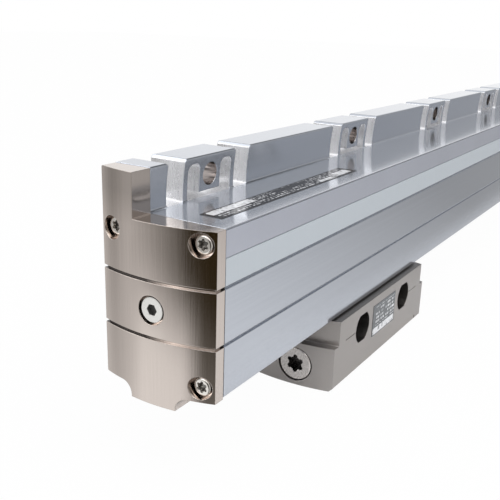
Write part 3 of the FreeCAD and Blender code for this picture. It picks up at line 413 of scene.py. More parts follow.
class NodeBench:
    """The nodes of a material or of the surroundings, with short ways to join them."""

    def __init__(self, owner, start, shader):
        owner.use_nodes = True
        self.nodes = owner.node_tree.nodes
        self.links = owner.node_tree.links
        self.shader = self.nodes[shader]
        self.place = self.nodes.new("ShaderNodeTexCoord").outputs[start]

    def link(self, start, end):
        self.links.new(start, end)

    def put(self, node, inputs):
        """Links or sets the inputs of a node."""
        for key, value in inputs.items():
            if isinstance(value, bpy.types.NodeSocket):
                self.link(value, node.inputs[key])
            else:
                node.inputs[key].default_value = value
        return node

    def new(self, kind, **inputs):
        """A new node with some of its inputs, whose names are written with low lines for spaces."""
        return self.put(self.nodes.new(kind), {key.replace("_", " "): value for key, value in inputs.items()})

    def set(self, **inputs):
        self.put(self.shader, {key.replace("_", " "): value for key, value in inputs.items()})

    def noise(self, scale, detail=3.0, rough=0.55):
        """A noise with so many grains in a metre, along all three axes or along each."""
        mapping = self.new("ShaderNodeMapping", Vector=self.place,
                           Scale=scale if isinstance(scale, tuple) else (scale, scale, scale))
        node = self.new("ShaderNodeTexNoise", Vector=mapping.outputs["Vector"], Scale=1.0, Detail=detail,
                        Roughness=rough)
        return node.outputs["Fac"]

    def span(self, value, low, high, new_low, new_high):
        """One range of values mapped to another, and held at its ends."""
        node = self.new("ShaderNodeMapRange", Value=value, From_Min=low, From_Max=high, To_Min=new_low, To_Max=new_high)
        return node.outputs["Result"]

    def ramp(self, value, start, end):
        """From nothing where the value is at the start to one where it is at the end."""
        return self.span(value, start, end, 0.0, 1.0)

    def fade(self, value, start, end):
        """From one where the value is at the start to nothing where it is at the end."""
        return self.span(value, start, end, 1.0, 0.0)

    def graded(self, noise, low, high, reach=0.2):
        """A noise as numbers between low and high, which it meets this far from its middle."""
        return self.span(noise, 0.5 - reach, 0.5 + reach, low, high)

    def maths(self, operation, first, second=0.0):
        node = self.nodes.new("ShaderNodeMath")
        node.operation = operation
        self.put(node, {0: first, 1: second})
        return node.outputs[0]

    def times(self, first, *others):
        """Several values multiplied."""
        for other in others:
            first = self.maths("MULTIPLY", first, other)
        return first

    def plus(self, first, *others):
        """Several values added up."""
        for other in others:
            first = self.maths("ADD", first, other)
        return first

    def minus(self, first, second):
        return self.maths("SUBTRACT", first, second)

    def size(self, value):
        """A value without its sign."""
        return self.maths("ABSOLUTE", value)

    def above(self, value, level):
        """One where a value is greater than a level."""
        return self.maths("GREATER_THAN", value, level)

    def below(self, value, level):
        """One where a value is less than a level."""
        return self.maths("LESS_THAN", value, level)

    def blend(self, share_of_second, first, second):
        """Two colours mixed."""
        node = self.nodes.new("ShaderNodeMix")
        node.data_type = "RGBA"
        for key, value in (("Factor", share_of_second), ("A", first), ("B", second)):
            socket = [s for s in node.inputs if s.name == key and s.enabled][0]
            if isinstance(value, bpy.types.NodeSocket):
                self.link(value, socket)
            else:
                socket.default_value = value if key == "Factor" else tuple(value)[:3] + (1.0,)
        return [s for s in node.outputs if s.enabled][0]

    def mottle(self, share_of_pale, tone, spread):
        """One colour, a little darker and a little paler."""
        return self.blend(share_of_pale, tint(tone, 1 - spread), tint(tone, 1 + spread))

    def mixed(self, share_of_second, first, second):
        """Two shaders mixed."""
        node = self.nodes.new("ShaderNodeMixShader")
        return self.put(node, {"Fac": share_of_second, 1: first, 2: second}).outputs["Shader"]

    def axis(self, index):
        """The place along one axis, in metres."""
        return self.new("ShaderNodeSeparateXYZ", Vector=self.place).outputs[index]

    def facing(self, index):
        """How squarely the surface faces along one axis, either way."""
        normal = self.nodes.new("ShaderNodeNewGeometry").outputs["Normal"]
        return self.size(self.new("ShaderNodeSeparateXYZ", Vector=normal).outputs[index])

    def bump(self, height, distance, rounding=0.0, strength=1.0):
        """A fine relief, and edges that look rounded."""
        node = self.new("ShaderNodeBump", Height=height, Distance=distance, Strength=strength)
        if rounding:
            edges = self.new("ShaderNodeBevel", Radius=rounding)
            edges.samples = 6
            self.link(edges.outputs["Normal"], node.inputs["Normal"])
        self.link(node.outputs["Normal"], self.shader.inputs["Normal"])


class Finish(NodeBench):
    """A node material whose pattern follows the place on the object."""

    def __init__(self, name):
        self.material = bpy.data.materials.new(name)
        super().__init__(self.material, "Object", "Principled BSDF")

    def paint_shade(self, where, amount):
        """Paints shade: takes a share of the colour away in some places."""
        socket = self.shader.inputs["Base Color"]
        before = socket.links[0].from_socket
        self.link(self.blend(self.times(where, amount), before, (0, 0, 0)), socket)

    def within(self, index, middle, reach):
        """One where the place lies within a distance of a level along one axis."""
        return self.below(self.size(self.minus(self.axis(index), middle)), reach)

    def behind(self, end, depth):
        """One where the place lies deeper than a depth in a recess, at either end of the scale."""
        return self.below(self.size(self.axis(0)), -end - depth)


def tint(value, factor):
    """A colour made paler or darker."""
    return tuple(min(1.0, part * factor) for part in value)


def brushed_metal(name, tone, gloss, grain, spread, depth, rounding=0.18 * MM):
    """Metal whose fine grain runs along the axis with the smallest number in grain."""
    finish = Finish(name)
    fine = finish.noise(grain, 4.0, 0.6)
    broad = finish.noise(26, 3.0, 0.5)
    worn = finish.plus(finish.times(fine, 0.5), finish.times(broad, 0.5))
    finish.set(
        Base_Color=finish.mottle(finish.graded(worn, 0.0, 1.0, reach=0.15), tone, spread),
        Metallic=1.0,
        Roughness=finish.graded(fine, gloss * 0.85, gloss * 1.2),
    )
    finish.bump(fine, depth, rounding)
    return finish


def steel_like(name, tone, gloss):
    """Plain bright metal without a direction."""
    return brushed_metal(name, tone, gloss, 1400, spread=0.04, depth=0.002 * MM, rounding=0.1 * MM)


def smooth_finish(name, tone, rough, grain=700, spread=0.05, metallic=0.0, clear=0.0, coat=0.0):
    """Moulded plastic, rubber, glass or polished metal with a fine uneven surface."""
    finish = Finish(name)
    speck = finish.noise(grain, 3.0, 0.55)
    cloud = finish.noise(60, 3.0, 0.5)
    finish.set(
        Base_Color=finish.mottle(finish.graded(cloud, 0.0, 1.0), tone, spread),
        Roughness=finish.graded(speck, rough * 0.85, min(1.0, rough * 1.15)),
        Metallic=metallic,
        Transmission_Weight=clear,
        Coat_Weight=coat,
    )
    finish.bump(speck, 0.004 * MM)
    return finish


def anodised_finish(colours, ledge, top):
    """Satin anodised extrusion, with bright milled walls and brown bores in the spar, and a pale band below."""
    finish = Finish("anodised_aluminium")
    times, above, below = finish.times, finish.above, finish.below
    lines = finish.noise((4, 900, 900), 3.0, 0.6)
    grain = finish.noise(1800, 2.0, 0.5)
    marks = finish.noise((2600, 2600, 30), 3.0, 0.6)
    x, y, z = (finish.axis(index) for index in range(3))
    edge = 0.05 * MM

    # What the cutter left bright: all that lies inside the spar, behind its swept front and under its top
    sweep = times(finish.minus(top, z), SPAR_LEAN)
    inside = times(above(finish.minus(y, sweep), SPAR_FRONT + edge), below(y, -edge),
                   below(finish.facing(1), FACING))
    across = finish.maths("PINGPONG", x, LUG_PITCH / 2)
    reach = finish.maths("SQRT", finish.plus(times(across, across), times(z, z)))
    bored = times(inside, below(reach, BOLT_HOLE + edge))
    milled = times(inside, above(z, ledge - edge), below(z, top - TOP_ROUNDING), above(reach, BOLT_HOLE + edge))

    # The faces that look different from the rest: the pale band, the spar's front and back, and the ledge
    band = times(below(y, BAND_FACE), below(z, BAND_TOP), above(z, BAND_FOOT))
    spar = times(above(y, SPAR_FRONT - 2 * MM), above(finish.facing(1), FACING))
    shelf = times(above(finish.facing(2), FACING), below(z, ledge + edge), above(z, ledge - 5 * edge),
                  below(milled, 0.5))

    satin = finish.mottle(finish.graded(lines, 0.0, 1.0, reach=0.15), colours.anodised, 0.015)
    bright = finish.blend(finish.graded(marks, 0.0, 1.0, reach=0.15), tint(colours.milled, 0.92),
                          tint(colours.milled, 1.06))
    tone = finish.blend(milled, finish.blend(band, satin, tuple(colours.band)), bright)
    rough = finish.plus(finish.graded(grain, 0.10, 0.14), times(spar, 0.12),
                        times(band, finish.graded(marks, 0.26, 0.38)), times(milled, finish.graded(marks, 0.14, 0.2)))
    dull = finish.plus(times(band, 0.7), times(milled, 0.2))
    along = finish.new("ShaderNodeCombineXYZ", X=1.0, Y=0.02, Z=0.05)
    finish.set(
        Base_Color=finish.blend(bored, tone, tuple(colours.bored)),
        Metallic=finish.minus(finish.minus(1.0, dull), times(shelf, 0.25)),
        Roughness=rough,
        Anisotropic=0.85,
        Anisotropic_Rotation=0.25,
        Tangent=along.outputs["Vector"],
    )
    finish.bump(finish.plus(times(marks, milled, 0.45), times(grain, 0.1)), 0.005 * MM, rounding=0.35 * MM)
    return finish


def inlay_finish(colours):
    """The grey foil of the strip in the front."""
    finish = Finish("inlay_foil")
    cloud = finish.noise(30, 4.0, 0.6)
    grain = finish.noise(1500, 2.0, 0.5)
    finish.set(
        Base_Color=finish.mottle(finish.graded(cloud, 0.0, 1.0), colours.inlay, 0.03),
        Metallic=0.6,
        Roughness=finish.graded(grain, 0.3, 0.38),
    )
    finish.bump(grain, 0.002 * MM)
    return finish


def print_finish(name, ink, paper, across, corners, columns, rows, gaps, fields, bars):
    """A dark film with rows of small pale specks, pale fields with dark specks, and plain dark bars; no words.

    columns and rows say how many specks go in a metre along X and along the other axis, across, and gaps is the
    share of them left out. Each field or bar holds its left, right, foot and head, as shares of the film.
    """
    finish = Finish(name)
    times, above, below = finish.times, finish.above, finish.below
    low, high = corners
    along, up = finish.axis(0), finish.axis(across)
    lines = times(up, rows)
    cells = finish.new("ShaderNodeCombineXYZ", X=finish.maths("FLOOR", times(along, columns)),
                       Y=finish.maths("FLOOR", lines))
    random = finish.new("ShaderNodeTexWhiteNoise", Vector=cells.outputs["Vector"])
    random.noise_dimensions = "2D"
    chance = random.outputs["Value"]
    row = finish.maths("FRACT", lines)
    share_along = finish.ramp(along, low.x, high.x)
    share_up = finish.ramp(up, low[across], high[across])

    def inside(left, right, foot, head):
        return times(above(share_along, left), below(share_along, right), above(share_up, foot), below(share_up, head))

    pale = times(finish.ramp(chance, gaps, 1.0), above(row, 0.25), below(row, 0.8), inside(0.02, 0.98, 0.08, 0.92))
    for bar in bars:
        pale = times(pale, finish.minus(1.0, inside(*bar)))
    for field in fields:
        pale = finish.maths("MAXIMUM", pale, times(inside(*field), finish.span(chance, 0.05, 0.25, 0.2, 1.0)))
    speck = finish.noise(900, 2.0, 0.5)
    ground = finish.blend(speck, tint(ink, 0.8), tint(ink, 1.3))
    finish.set(Base_Color=finish.blend(pale, ground, tuple(paper)), Metallic=0.0,
               Roughness=finish.graded(speck, 0.12, 0.16))
    finish.bump(pale, 0.004 * MM, strength=0.5)
    return finish


def dress(piece, finish):
    """Gives a piece one finish."""
    piece.data.materials.clear()
    piece.data.materials.append(finish.material)


def place_piece(piece, finish, body, slot, *nodes):
    """Finishes a new piece, sets it on its body and hides the CAD pieces that it stands for."""
    dress(piece, finish)
    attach(piece, body)
    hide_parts(*nodes)


# Pieces

class ModelEndCaps(bpy.types.Operator):
    """Models the near end cap with its bow, grooves and pockets, and mirrors it to the far end"""
    bl_idname = "glass_scale.end_caps"
    bl_label = "End caps"

    def execute(self, context):
        sizes = context.scene.cap_sizes
        low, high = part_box("end_cap_near")
        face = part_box("cap_gasket_near")[1].x
        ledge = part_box("name_label")[0].z
        bow = circle_through([(face - sizes.thick_back, high.y), (face - sizes.thick_middle, (low.y + high.y) / 2),
                              (face - sizes.thick_front, low.y)])
        cap = self.body(low, high, face - DRILL, ledge, bow)
        self.grooves(cap, sizes, low, high, face, bow)
        self.round_edges(cap, sizes, bow)
        self.pockets(cap, context.scene, high.x, bow)
        smooth(cap)
        far = far_copy(cap, "cap_body_far")
        cap.name = "cap_body_near"
        nickel = self.nickel(sizes, ledge)
        place_piece(cap, nickel, "housing", "nickel", "end_cap_near")
        place_piece(far, nickel, "housing", "nickel", "end_cap_far")
        return {"FINISHED"}

    def body(self, low, high, out, ledge, bow):
        """The cap's outline with its raised part and its foot between two scallops, cut to the bow."""
        bottom = low.z + FOOT_HEIGHT
        cap = box("cap", (out, low.y, bottom), (high.x, high.y, ledge))
        combine(cap, box("raised", (out, SPAR_FRONT, ledge - PROUD), (high.x, high.y, high.z)), "UNION")
        combine(cap, box("foot", (out, RAIL_FRONT - SCALLOP, low.z),
                         (high.x, RAIL_BACK + SCALLOP, bottom + PROUD)), "UNION")
        for edge_y, outwards in ((RAIL_FRONT, -1), (RAIL_BACK, 1)):
            centre_y = edge_y + outwards * SCALLOP
            combine(cap, rod("scallop", ((out + high.x) / 2, centre_y, bottom - SCALLOP), "X", SCALLOP, 2 * DRILL))
            combine(cap, box("under", (out - PAST, min(edge_y, centre_y), low.z - PROUD),
                             (high.x + PAST, max(edge_y, centre_y), bottom - SCALLOP)))
        bow_x, bow_y, bow_radius = bow
        round_bar = rod("bow", (bow_x, bow_y, 0), "Z", bow_radius, 300 * MM, CAP_BOW_SIDES)
        for level in (bottom + PROUD, ledge - PROUD):
            split_at(round_bar, level)
        combine(cap, round_bar, "INTERSECT")
        return bevel_where(cap, lambda middle: middle.z > high.z - TOUCH and middle.y > high.y - TOUCH,
                           BACK_TOP_ROUNDING, segments=5)

    def grooves(self, cap, sizes, low, high, face, bow):
        """The two grooves that run round the cap."""
        bow_x, bow_y, bow_radius = bow
        half, deep, tall = sizes.groove_width / 2, sizes.groove_depth, 3 * MM
        for level in GROOVE_LEVELS:
            groove = box("groove", (face - DRILL, low.y - PROUD, level - half), (face, high.y + PROUD, level + half))
            core = rod("core", (bow_x, bow_y, level), "Z", bow_radius - deep, 4 * MM, CAP_BOW_SIDES)
            combine(core, box("sides", (face - DRILL, low.y + deep, level - tall), (0, high.y - deep, level + tall)),
                    "INTERSECT")
            combine(groove, core)
            combine(cap, groove)

    def round_edges(self, cap, sizes, bow):
        """Rounds the lips of the grooves a little, and the other edges on the bow more."""
        bow_x, bow_y, bow_radius = bow

        def on_bow(middle):
            return math.hypot(middle.x - bow_x, middle.y - bow_y) > bow_radius - 3 * TOUCH

        def by_groove(middle):
            return any(abs(middle.z - level) < sizes.groove_width for level in GROOVE_LEVELS)

        bevel_where(cap, lambda middle: on_bow(middle) and by_groove(middle), sizes.lip, segments=2)
        bevel_where(cap, lambda middle: on_bow(middle) and not by_groove(middle), sizes.edge)

    def pockets(self, cap, scene, inner, bow):
        """The pockets and holes of the three screws and of the air-port plug."""
        sizes, plug = scene.cap_sizes, scene.plug_sizes
        seat = inner - sizes.counterbore_seat
        for y, z in SCREW_PLACES:
            combine(cap, rod("counterbore", (seat - DRILL / 2, y, z), "X", sizes.counterbore, DRILL))
            combine(cap, rod("hole", (inner, y, z), "X", scene.screw_sizes.shank, DRILL, sides=32))
        bow_x, bow_y, bow_radius = bow
        port_floor = bow_x - math.sqrt(bow_radius ** 2 - (SLOT_PLANE - bow_y) ** 2)
        port_floor += plug.recess + plug.head_height + PORT_CLEARANCE
        combine(cap, rod("port", (port_floor - DRILL / 2, SLOT_PLANE, PORT_LEVEL), "X", sizes.port, DRILL))
        combine(cap, rod("port_hole", (inner, SLOT_PLANE, PORT_LEVEL), "X", PORT_NECK, 1.5 * DRILL, sides=48))

    def nickel(self, sizes, ledge):
        """Brushed nickel with painted shade: darker in the grooves' back part, on the raised part's side and towards
        its top.
        """
        nickel = brushed_metal("cap_nickel", sizes.tone, sizes.gloss, (3000, 3000, 40), spread=0.05,
                               depth=0.01 * MM)
        # Painted shade in the two grooves, deeper towards their back part
        for level in GROOVE_LEVELS:
            shade = nickel.span(nickel.axis(1), -25 * MM, -16 * MM, 0.1, 0.85)
            nickel.paint_shade(nickel.within(2, level, sizes.groove_width / 2 + TOUCH), shade)
        # Painted shade on the side faces of the raised part
        raised_side_shade = nickel.times(nickel.above(nickel.axis(2), ledge + 0.3 * MM),
                                   nickel.above(nickel.facing(1), SQUARE_ON))
        nickel.paint_shade(raised_side_shade, 0.33)
        # Painted shade on the end face, growing towards its top
        shade_towards_top = nickel.span(nickel.axis(2), ledge - 2 * MM, ledge + 7 * MM, 0.0, 0.25)
        nickel.paint_shade(nickel.above(nickel.facing(0), SQUARE_ON), shade_towards_top)
        return nickel


class ModelCapScrews(bpy.types.Operator):
    """Models one cap screw with its star recess, and copies it to its six places"""
    bl_idname = "glass_scale.cap_screws"
    bl_label = "Cap screws"

    def execute(self, context):
        sizes = context.scene.screw_sizes
        low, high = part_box("cap_screws_near")
        seat = low.x + sizes.head_height
        screw = rod("screw", ((low.x + seat) / 2, 0, 0), "X", sizes.head, sizes.head_height)
        bevel_where(screw, near_end(low.x), sizes.head_rounding, segments=6)
        combine(screw, star_tool((low.x, 0, 0), sizes.star, sizes.star_lobe, 2 * sizes.star_depth))
        bevel_where(screw, near_end(low.x), 0.1 * MM, segments=2)
        combine(screw, rod("shank", ((seat + high.x) / 2 - SINK, 0, 0), "X", sizes.shank, high.x - seat, sides=32),
                "UNION")
        smooth(screw)
        near = merge([copy_of(screw, "screw_copy", (0, y, z)) for y, z in SCREW_PLACES], "cap_screw_set_near")
        far = far_copy(near, "cap_screw_set_far")
        bpy.data.objects.remove(screw)
        plating = steel_like("screw_plating", sizes.tone, 0.14)
        # Painted shade inside the screws' star recess
        plating.paint_shade(plating.behind(low.x, 0.8 * MM), 0.75)
        place_piece(near, plating, "housing", "bright_screw", "cap_screws_near")
        place_piece(far, plating, "housing", "bright_screw", "cap_screws_far")
        return {"FINISHED"}


class ModelAirPlugs(bpy.types.Operator):
    """Models the pale air-port plug with its hexagon socket, for both ends"""
    bl_idname = "glass_scale.air_plugs"
    bl_label = "Air-port plugs"

    def execute(self, context):
        sizes = context.scene.plug_sizes
        low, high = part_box("air_port_plug_near")
        seat = low.x + sizes.head_height
        centre = (SLOT_PLANE, PORT_LEVEL)
        plug = rod("plug", ((low.x + seat) / 2, *centre), "X", sizes.head, sizes.head_height)
        bevel_where(plug, near_end(low.x), sizes.rounding, segments=4)
        combine(plug, rod("socket", (low.x, *centre), "X", sizes.hexagon / math.sqrt(3), 2 * sizes.hexagon_depth,
                          sides=6))
        bevel_where(plug, near_end(low.x), 0.12 * MM, segments=2)
        combine(plug, rod("neck", ((seat + high.x) / 2 - SINK, *centre), "X", PORT_NECK, high.x - seat, sides=32),
                "UNION")
        smooth(plug)
        far = far_copy(plug, "air_plug_far")
        plug.name = "air_plug_near"
        pale = smooth_finish("pale_plug", sizes.tone, 0.3, grain=900, spread=0.02, coat=0.3)
        # Painted shade inside the plug's hexagon socket
        pale.paint_shade(pale.behind(low.x, 0.2 * MM), 0.9)
        place_piece(plug, pale, "housing", "pale_plug", "air_port_plug_near")
        place_piece(far, pale, "housing", "pale_plug", "air_port_plug_far")
        return {"FINISHED"}


class ModelHeadBlock(bpy.types.Operator):
    """Models the block of the scanning head with its bowed ends, shoulders, pockets and bores"""
    bl_idname = "glass_scale.head_block"
    bl_label = "Scanning head block"

    def execute(self, context):
        sizes = context.scene.head_sizes
        low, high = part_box("mounting_block")
        centre, half = (low.x + high.x) / 2, sizes.lower_length / 2
        inside, shoulder = half - sizes.shoulder, high.z - sizes.shoulder_drop
        level = high.z - sizes.bolt_drop

        block = self.slab("block", sizes, low, high, half, low.z + TOUCH, high.z)
        combine(block, self.shoulder_tool(sizes, low, high, inside, shoulder))
        for y in (low.y, high.y):
            combine(block, corner_bar("wedge", (centre, y, low.z), BLOCK_TOOL, sizes.chamfer))
        combine(block, box("channel", (centre - BLOCK_TOOL, RAIL_FRONT - CHANNEL_MARGIN, high.z - CHANNEL_DEPTH),
                           (centre + BLOCK_TOOL, RAIL_BACK + CHANNEL_MARGIN, high.z + PAST)))

        def outside(middle):
            reach = abs(middle.x - centre)
            on_end = abs(reach - half) < sizes.bow + TOUCH or abs(reach - inside) < sizes.bow + TOUCH
            return on_end or middle.y < low.y + TOUCH or middle.y > high.y - TOUCH

        bevel_where(block, outside, sizes.edge, least=0.7)
        for side in (-1, 1):
            self.holes(block, sizes, low, high, level, side)
            combine(block, rod("end_bore", (centre + side * BORE_REACH, BORE_Y, BORE_Z), "X",
                               context.scene.end_plug_sizes.bore, BORE_LENGTH))
        notch = centre + NOTCH_PLACE
        combine(block, box("notch", (notch, low.y - PROUD, low.z - PROUD),
                           (notch + NOTCH_WIDTH, low.y + sizes.chamfer, low.z + NOTCH_HEIGHT)))
        cover_low, cover_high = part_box("block_cover")
        combine(block, box("cover_seat", (cover_low.x - COVER_GAP, cover_low.y - COVER_GAP, low.z - PROUD),
                           (cover_high.x + COVER_GAP, cover_high.y + COVER_GAP, cover_high.z)))
        smooth(block)
        block.name = "head_block_body"
        place_piece(block, self.nickel(sizes, low.y, centre, level), "scanning_unit", "block_nickel",
                    "mounting_block")
        return {"FINISHED"}

    def slab(self, name, sizes, low, high, reach, z_low, z_high):
        """A slab that is bowed at both ends."""
        centre = (low.x + high.x) / 2
        bow_radius = (((high.y - low.y) / 2) ** 2 + sizes.bow ** 2) / (2 * sizes.bow)
        slab = box(name, (centre - BLOCK_STOCK, low.y, z_low), (centre + BLOCK_STOCK, high.y, z_high))
        for side in (-1, 1):
            bow_x = centre + side * (reach + sizes.bow - bow_radius)
            combine(slab, rod("bow", (bow_x, (low.y + high.y) / 2, (z_low + z_high) / 2), "Z", bow_radius,
                              z_high - z_low + 2 * PAST, BLOCK_BOW_SIDES), "INTERSECT")
        return slab

    def shoulder_tool(self, sizes, low, high, inside, shoulder):
        """What is cut away above the shoulders, rounded where they meet the upper part."""
        centre = (low.x + high.x) / 2
        ring = box("ring", (centre - BLOCK_TOOL, low.y - PAST, shoulder),
                   (centre + BLOCK_TOOL, high.y + PAST, high.z + PAST))
        combine(ring, self.slab("upper", sizes, low, high, inside, shoulder - PROUD, high.z + PAST + PROUD))

        def at_root(middle):
            return abs(middle.z - shoulder) < TOUCH and abs(middle.x - centre) < inside + sizes.bow + TOUCH

        return bevel_where(ring, at_root, sizes.root, segments=6)

    def holes(self, block, sizes, low, high, level, side):
        """One bolt pocket with its flats, its hole and the index line beside it."""
        x = (low.x + high.x) / 2 + side * sizes.bolt_pitch / 2
        pocket = rod("pocket", (x, low.y, level), "Y", sizes.pocket, 2 * sizes.pocket_depth)
        combine(pocket, box("flats", (x - PAST, low.y - PAST, level - sizes.pocket_rise),
                            (x + PAST, low.y + PAST, level + sizes.pocket_rise)), "INTERSECT")
        combine(block, pocket)
        combine(block, rod("bolt_hole", (x, (low.y + high.y) / 2, level), "Y", sizes.bolt_hole, 60 * MM, sides=48))
        start = x + side * (sizes.pocket + INDEX_GAP)
        end = start + side * INDEX_LENGTH
        combine(block, box("index", (min(start, end), low.y - PROUD, level - INDEX_HALF_HEIGHT),
                           (max(start, end), low.y + INDEX_DEPTH, level + INDEX_HALF_HEIGHT)))

    def nickel(self, sizes, front, centre, level):
        """Blasted nickel, with painted shade darkening the bolt pockets."""
        nickel = brushed_metal("head_nickel", sizes.tone, sizes.gloss, 2200, spread=0.045, depth=0.005 * MM)
        edge = 0.05 * MM
        aside = nickel.size(nickel.minus(nickel.axis(0), centre))
        by_bolt = nickel.below(nickel.size(nickel.minus(aside, sizes.bolt_pitch / 2)), sizes.pocket + edge)
        # Painted shade inside the bolt pockets
        pocket_shade = nickel.times(nickel.within(1, front + sizes.pocket_depth, sizes.pocket_depth - 0.3 * MM),
                                 nickel.within(2, level, sizes.pocket_rise + edge), by_bolt)
        nickel.paint_shade(pocket_shade, 0.5)
        return nickel


class ModelEndPlug(bpy.types.Operator):
    """Models the blank plug with its large star recess in the near end of the head"""
    bl_idname = "glass_scale.end_plug"
    bl_label = "Head end plug"

    def execute(self, context):
        sizes = context.scene.end_plug_sizes
        low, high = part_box("block_end_plug")
        plug = rod("head_end_plug", (low.x + sizes.plug_length / 2, BORE_Y, BORE_Z), "X", sizes.plug,
                   sizes.plug_length, sides=96)
        bevel_where(plug, near_end(low.x), sizes.rounding, segments=4)
        combine(plug, star_tool((low.x, BORE_Y, BORE_Z), sizes.star, sizes.star_lobe, 2 * sizes.star_depth))
        bevel_where(plug, near_end(low.x), 0.2 * MM)
        combine(plug, rod("nose", (high.x - sizes.nose / 2 - 2 * SINK, BORE_Y, BORE_Z), "X", sizes.nose_radius,
                          sizes.nose + 4 * SINK, sides=48), "UNION")
        smooth(plug)
        nickel = brushed_metal("end_plug_nickel", tint(context.scene.head_sizes.tone, 1.85), 0.26, 1400,
                               spread=0.03, depth=0.001 * MM, rounding=0.1 * MM)
        # Painted shade inside the plug's star recess
        nickel.paint_shade(nickel.behind(low.x, 0.35 * MM), 0.85)
        place_piece(plug, nickel, "scanning_unit", "block_nickel", "block_end_plug")
        return {"FINISHED"}


class FinishHousing(bpy.types.Operator):
    """Finishes the anodised housing, its inlay strip, its label and the head's data plate"""
    bl_idname = "glass_scale.housing"
    bl_label = "Housing and labels"

    def execute(self, context):
        colours = context.scene.housing_colours
        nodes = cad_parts
        label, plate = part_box("name_label"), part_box("data_plate")
        dress(nodes["housing_profile"], anodised_finish(colours, label[0].z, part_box("cap_gasket_near")[1].z))
        dress(nodes["front_inlay_strip"], inlay_finish(colours))
        dress(nodes["name_label"], print_finish(
            "label_print", colours.ink, colours.paper, across=1, corners=label, columns=2000, rows=900, gaps=0.35,
            fields=((0.015, 0.27, 0.48, 0.92), (0.70, 0.80, 0.10, 0.34), (0.86, 0.975, 0.12, 0.60)),
            bars=((0.05, 0.45, 0.36, 0.48), (0.42, 0.66, 0.52, 0.84))))
        dress(nodes["data_plate"], print_finish(
            "data_print", colours.plate_ink, colours.paper, across=2, corners=plate, columns=1300, rows=620, gaps=0.3,
            fields=((0.03, 0.97, 0.03, 0.24),), bars=((0.0, 1.0, 0.24, 0.30), (0.0, 0.12, 0.3, 1.0))))
        return {"FINISHED"}


# Each smooth finish: its colour, roughness, share of metal, clearness, and the CAD pieces that get it
SMOOTH_FINISHES = {
    "lip_rubber": ((0.05, 0.05, 0.05), 0.55, 0.0, 0.0, ("sealing_lip_front", "sealing_lip_back")),
    "gasket_rubber": ((0.03, 0.03, 0.03), 0.6, 0.0, 0.0,
                      ("cap_gasket_near", "cap_gasket_far", "air_port_washers", "plug_seal")),
    "scale_glass": ((0.80, 0.90, 0.87), 0.03, 0.0, 1.0, ("glass_scale",)),
    "optic_glass": ((0.92, 0.95, 0.96), 0.02, 0.0, 1.0, ("condenser_lens", "scanning_reticle")),
    "chrome_track": ((0.70, 0.72, 0.74), 0.1, 1.0, 0.0, ("graduation_tracks",)),
    "bond": ((0.70, 0.68, 0.60), 0.5, 0.0, 0.0, ("scale_bond",)),
    "socket_insert": ((0.025, 0.025, 0.028), 0.42, 0.0, 0.0, ("cable_socket_insert",)),
    "brass": ((0.80, 0.60, 0.28), 0.2, 1.0, 0.0, ("cable_socket_contacts", "roller_spacers")),
    "board": ((0.03, 0.16, 0.07), 0.35, 0.0, 0.0, ("signal_board", "lamp_board", "sensor_board")),
    "chip": ((0.02, 0.02, 0.022), 0.5, 0.0, 0.0, ("signal_board_chips", "sensor_board_chips")),
    "photo_cell": ((0.04, 0.05, 0.12), 0.2, 0.0, 0.0, ("photo_cells",)),
    "lamp_lens": ((0.85, 0.78, 0.66), 0.1, 0.0, 0.6, ("lamp",)),
    "lead_film": ((0.45, 0.20, 0.04), 0.3, 0.0, 0.0, ("flat_lead",)),
}

# Each plain metal: its colour, roughness, and the CAD pieces that get it
METAL_FINISHES = {
    "steel": ((0.62, 0.63, 0.64), 0.28, ("signal_board_screws", "cover_screws", "coupling_blade", "blade_screws",
                                         "coupling_pin", "roller_pins", "carriage_screws")),
    "carriage_alloy": ((0.60, 0.61, 0.63), 0.34, ("carriage_frame",)),
    "block_nickel": ((0.56, 0.535, 0.50), 0.34, ("block_cover",)),
    "bright_screw": ((0.70, 0.68, 0.64), 0.2, ("cable_socket_shell",)),
    "bearing_steel": ((0.72, 0.72, 0.73), 0.12, ("face_roller_near", "face_roller_far", "face_roller_top",
                                                 "edge_roller_near", "edge_roller_far")),
}


class FinishInnerPieces(bpy.types.Operator):
    """Finishes the seals, glass, boards, rollers and other pieces inside the housing and the head"""
    bl_idname = "glass_scale.inner_pieces"
    bl_label = "Inner pieces"

    def execute(self, context):
        for name, (tone, rough, metallic, clear, nodes) in SMOOTH_FINISHES.items():
            finish = smooth_finish(name, tone, rough, metallic=metallic, clear=clear)
            for node in nodes:
                dress(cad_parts[node], finish)
        for name, (tone, gloss, nodes) in METAL_FINISHES.items():
            finish = steel_like(name, tone, gloss)
            for node in nodes:
                dress(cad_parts[node], finish)
        return {"FINISHED"}


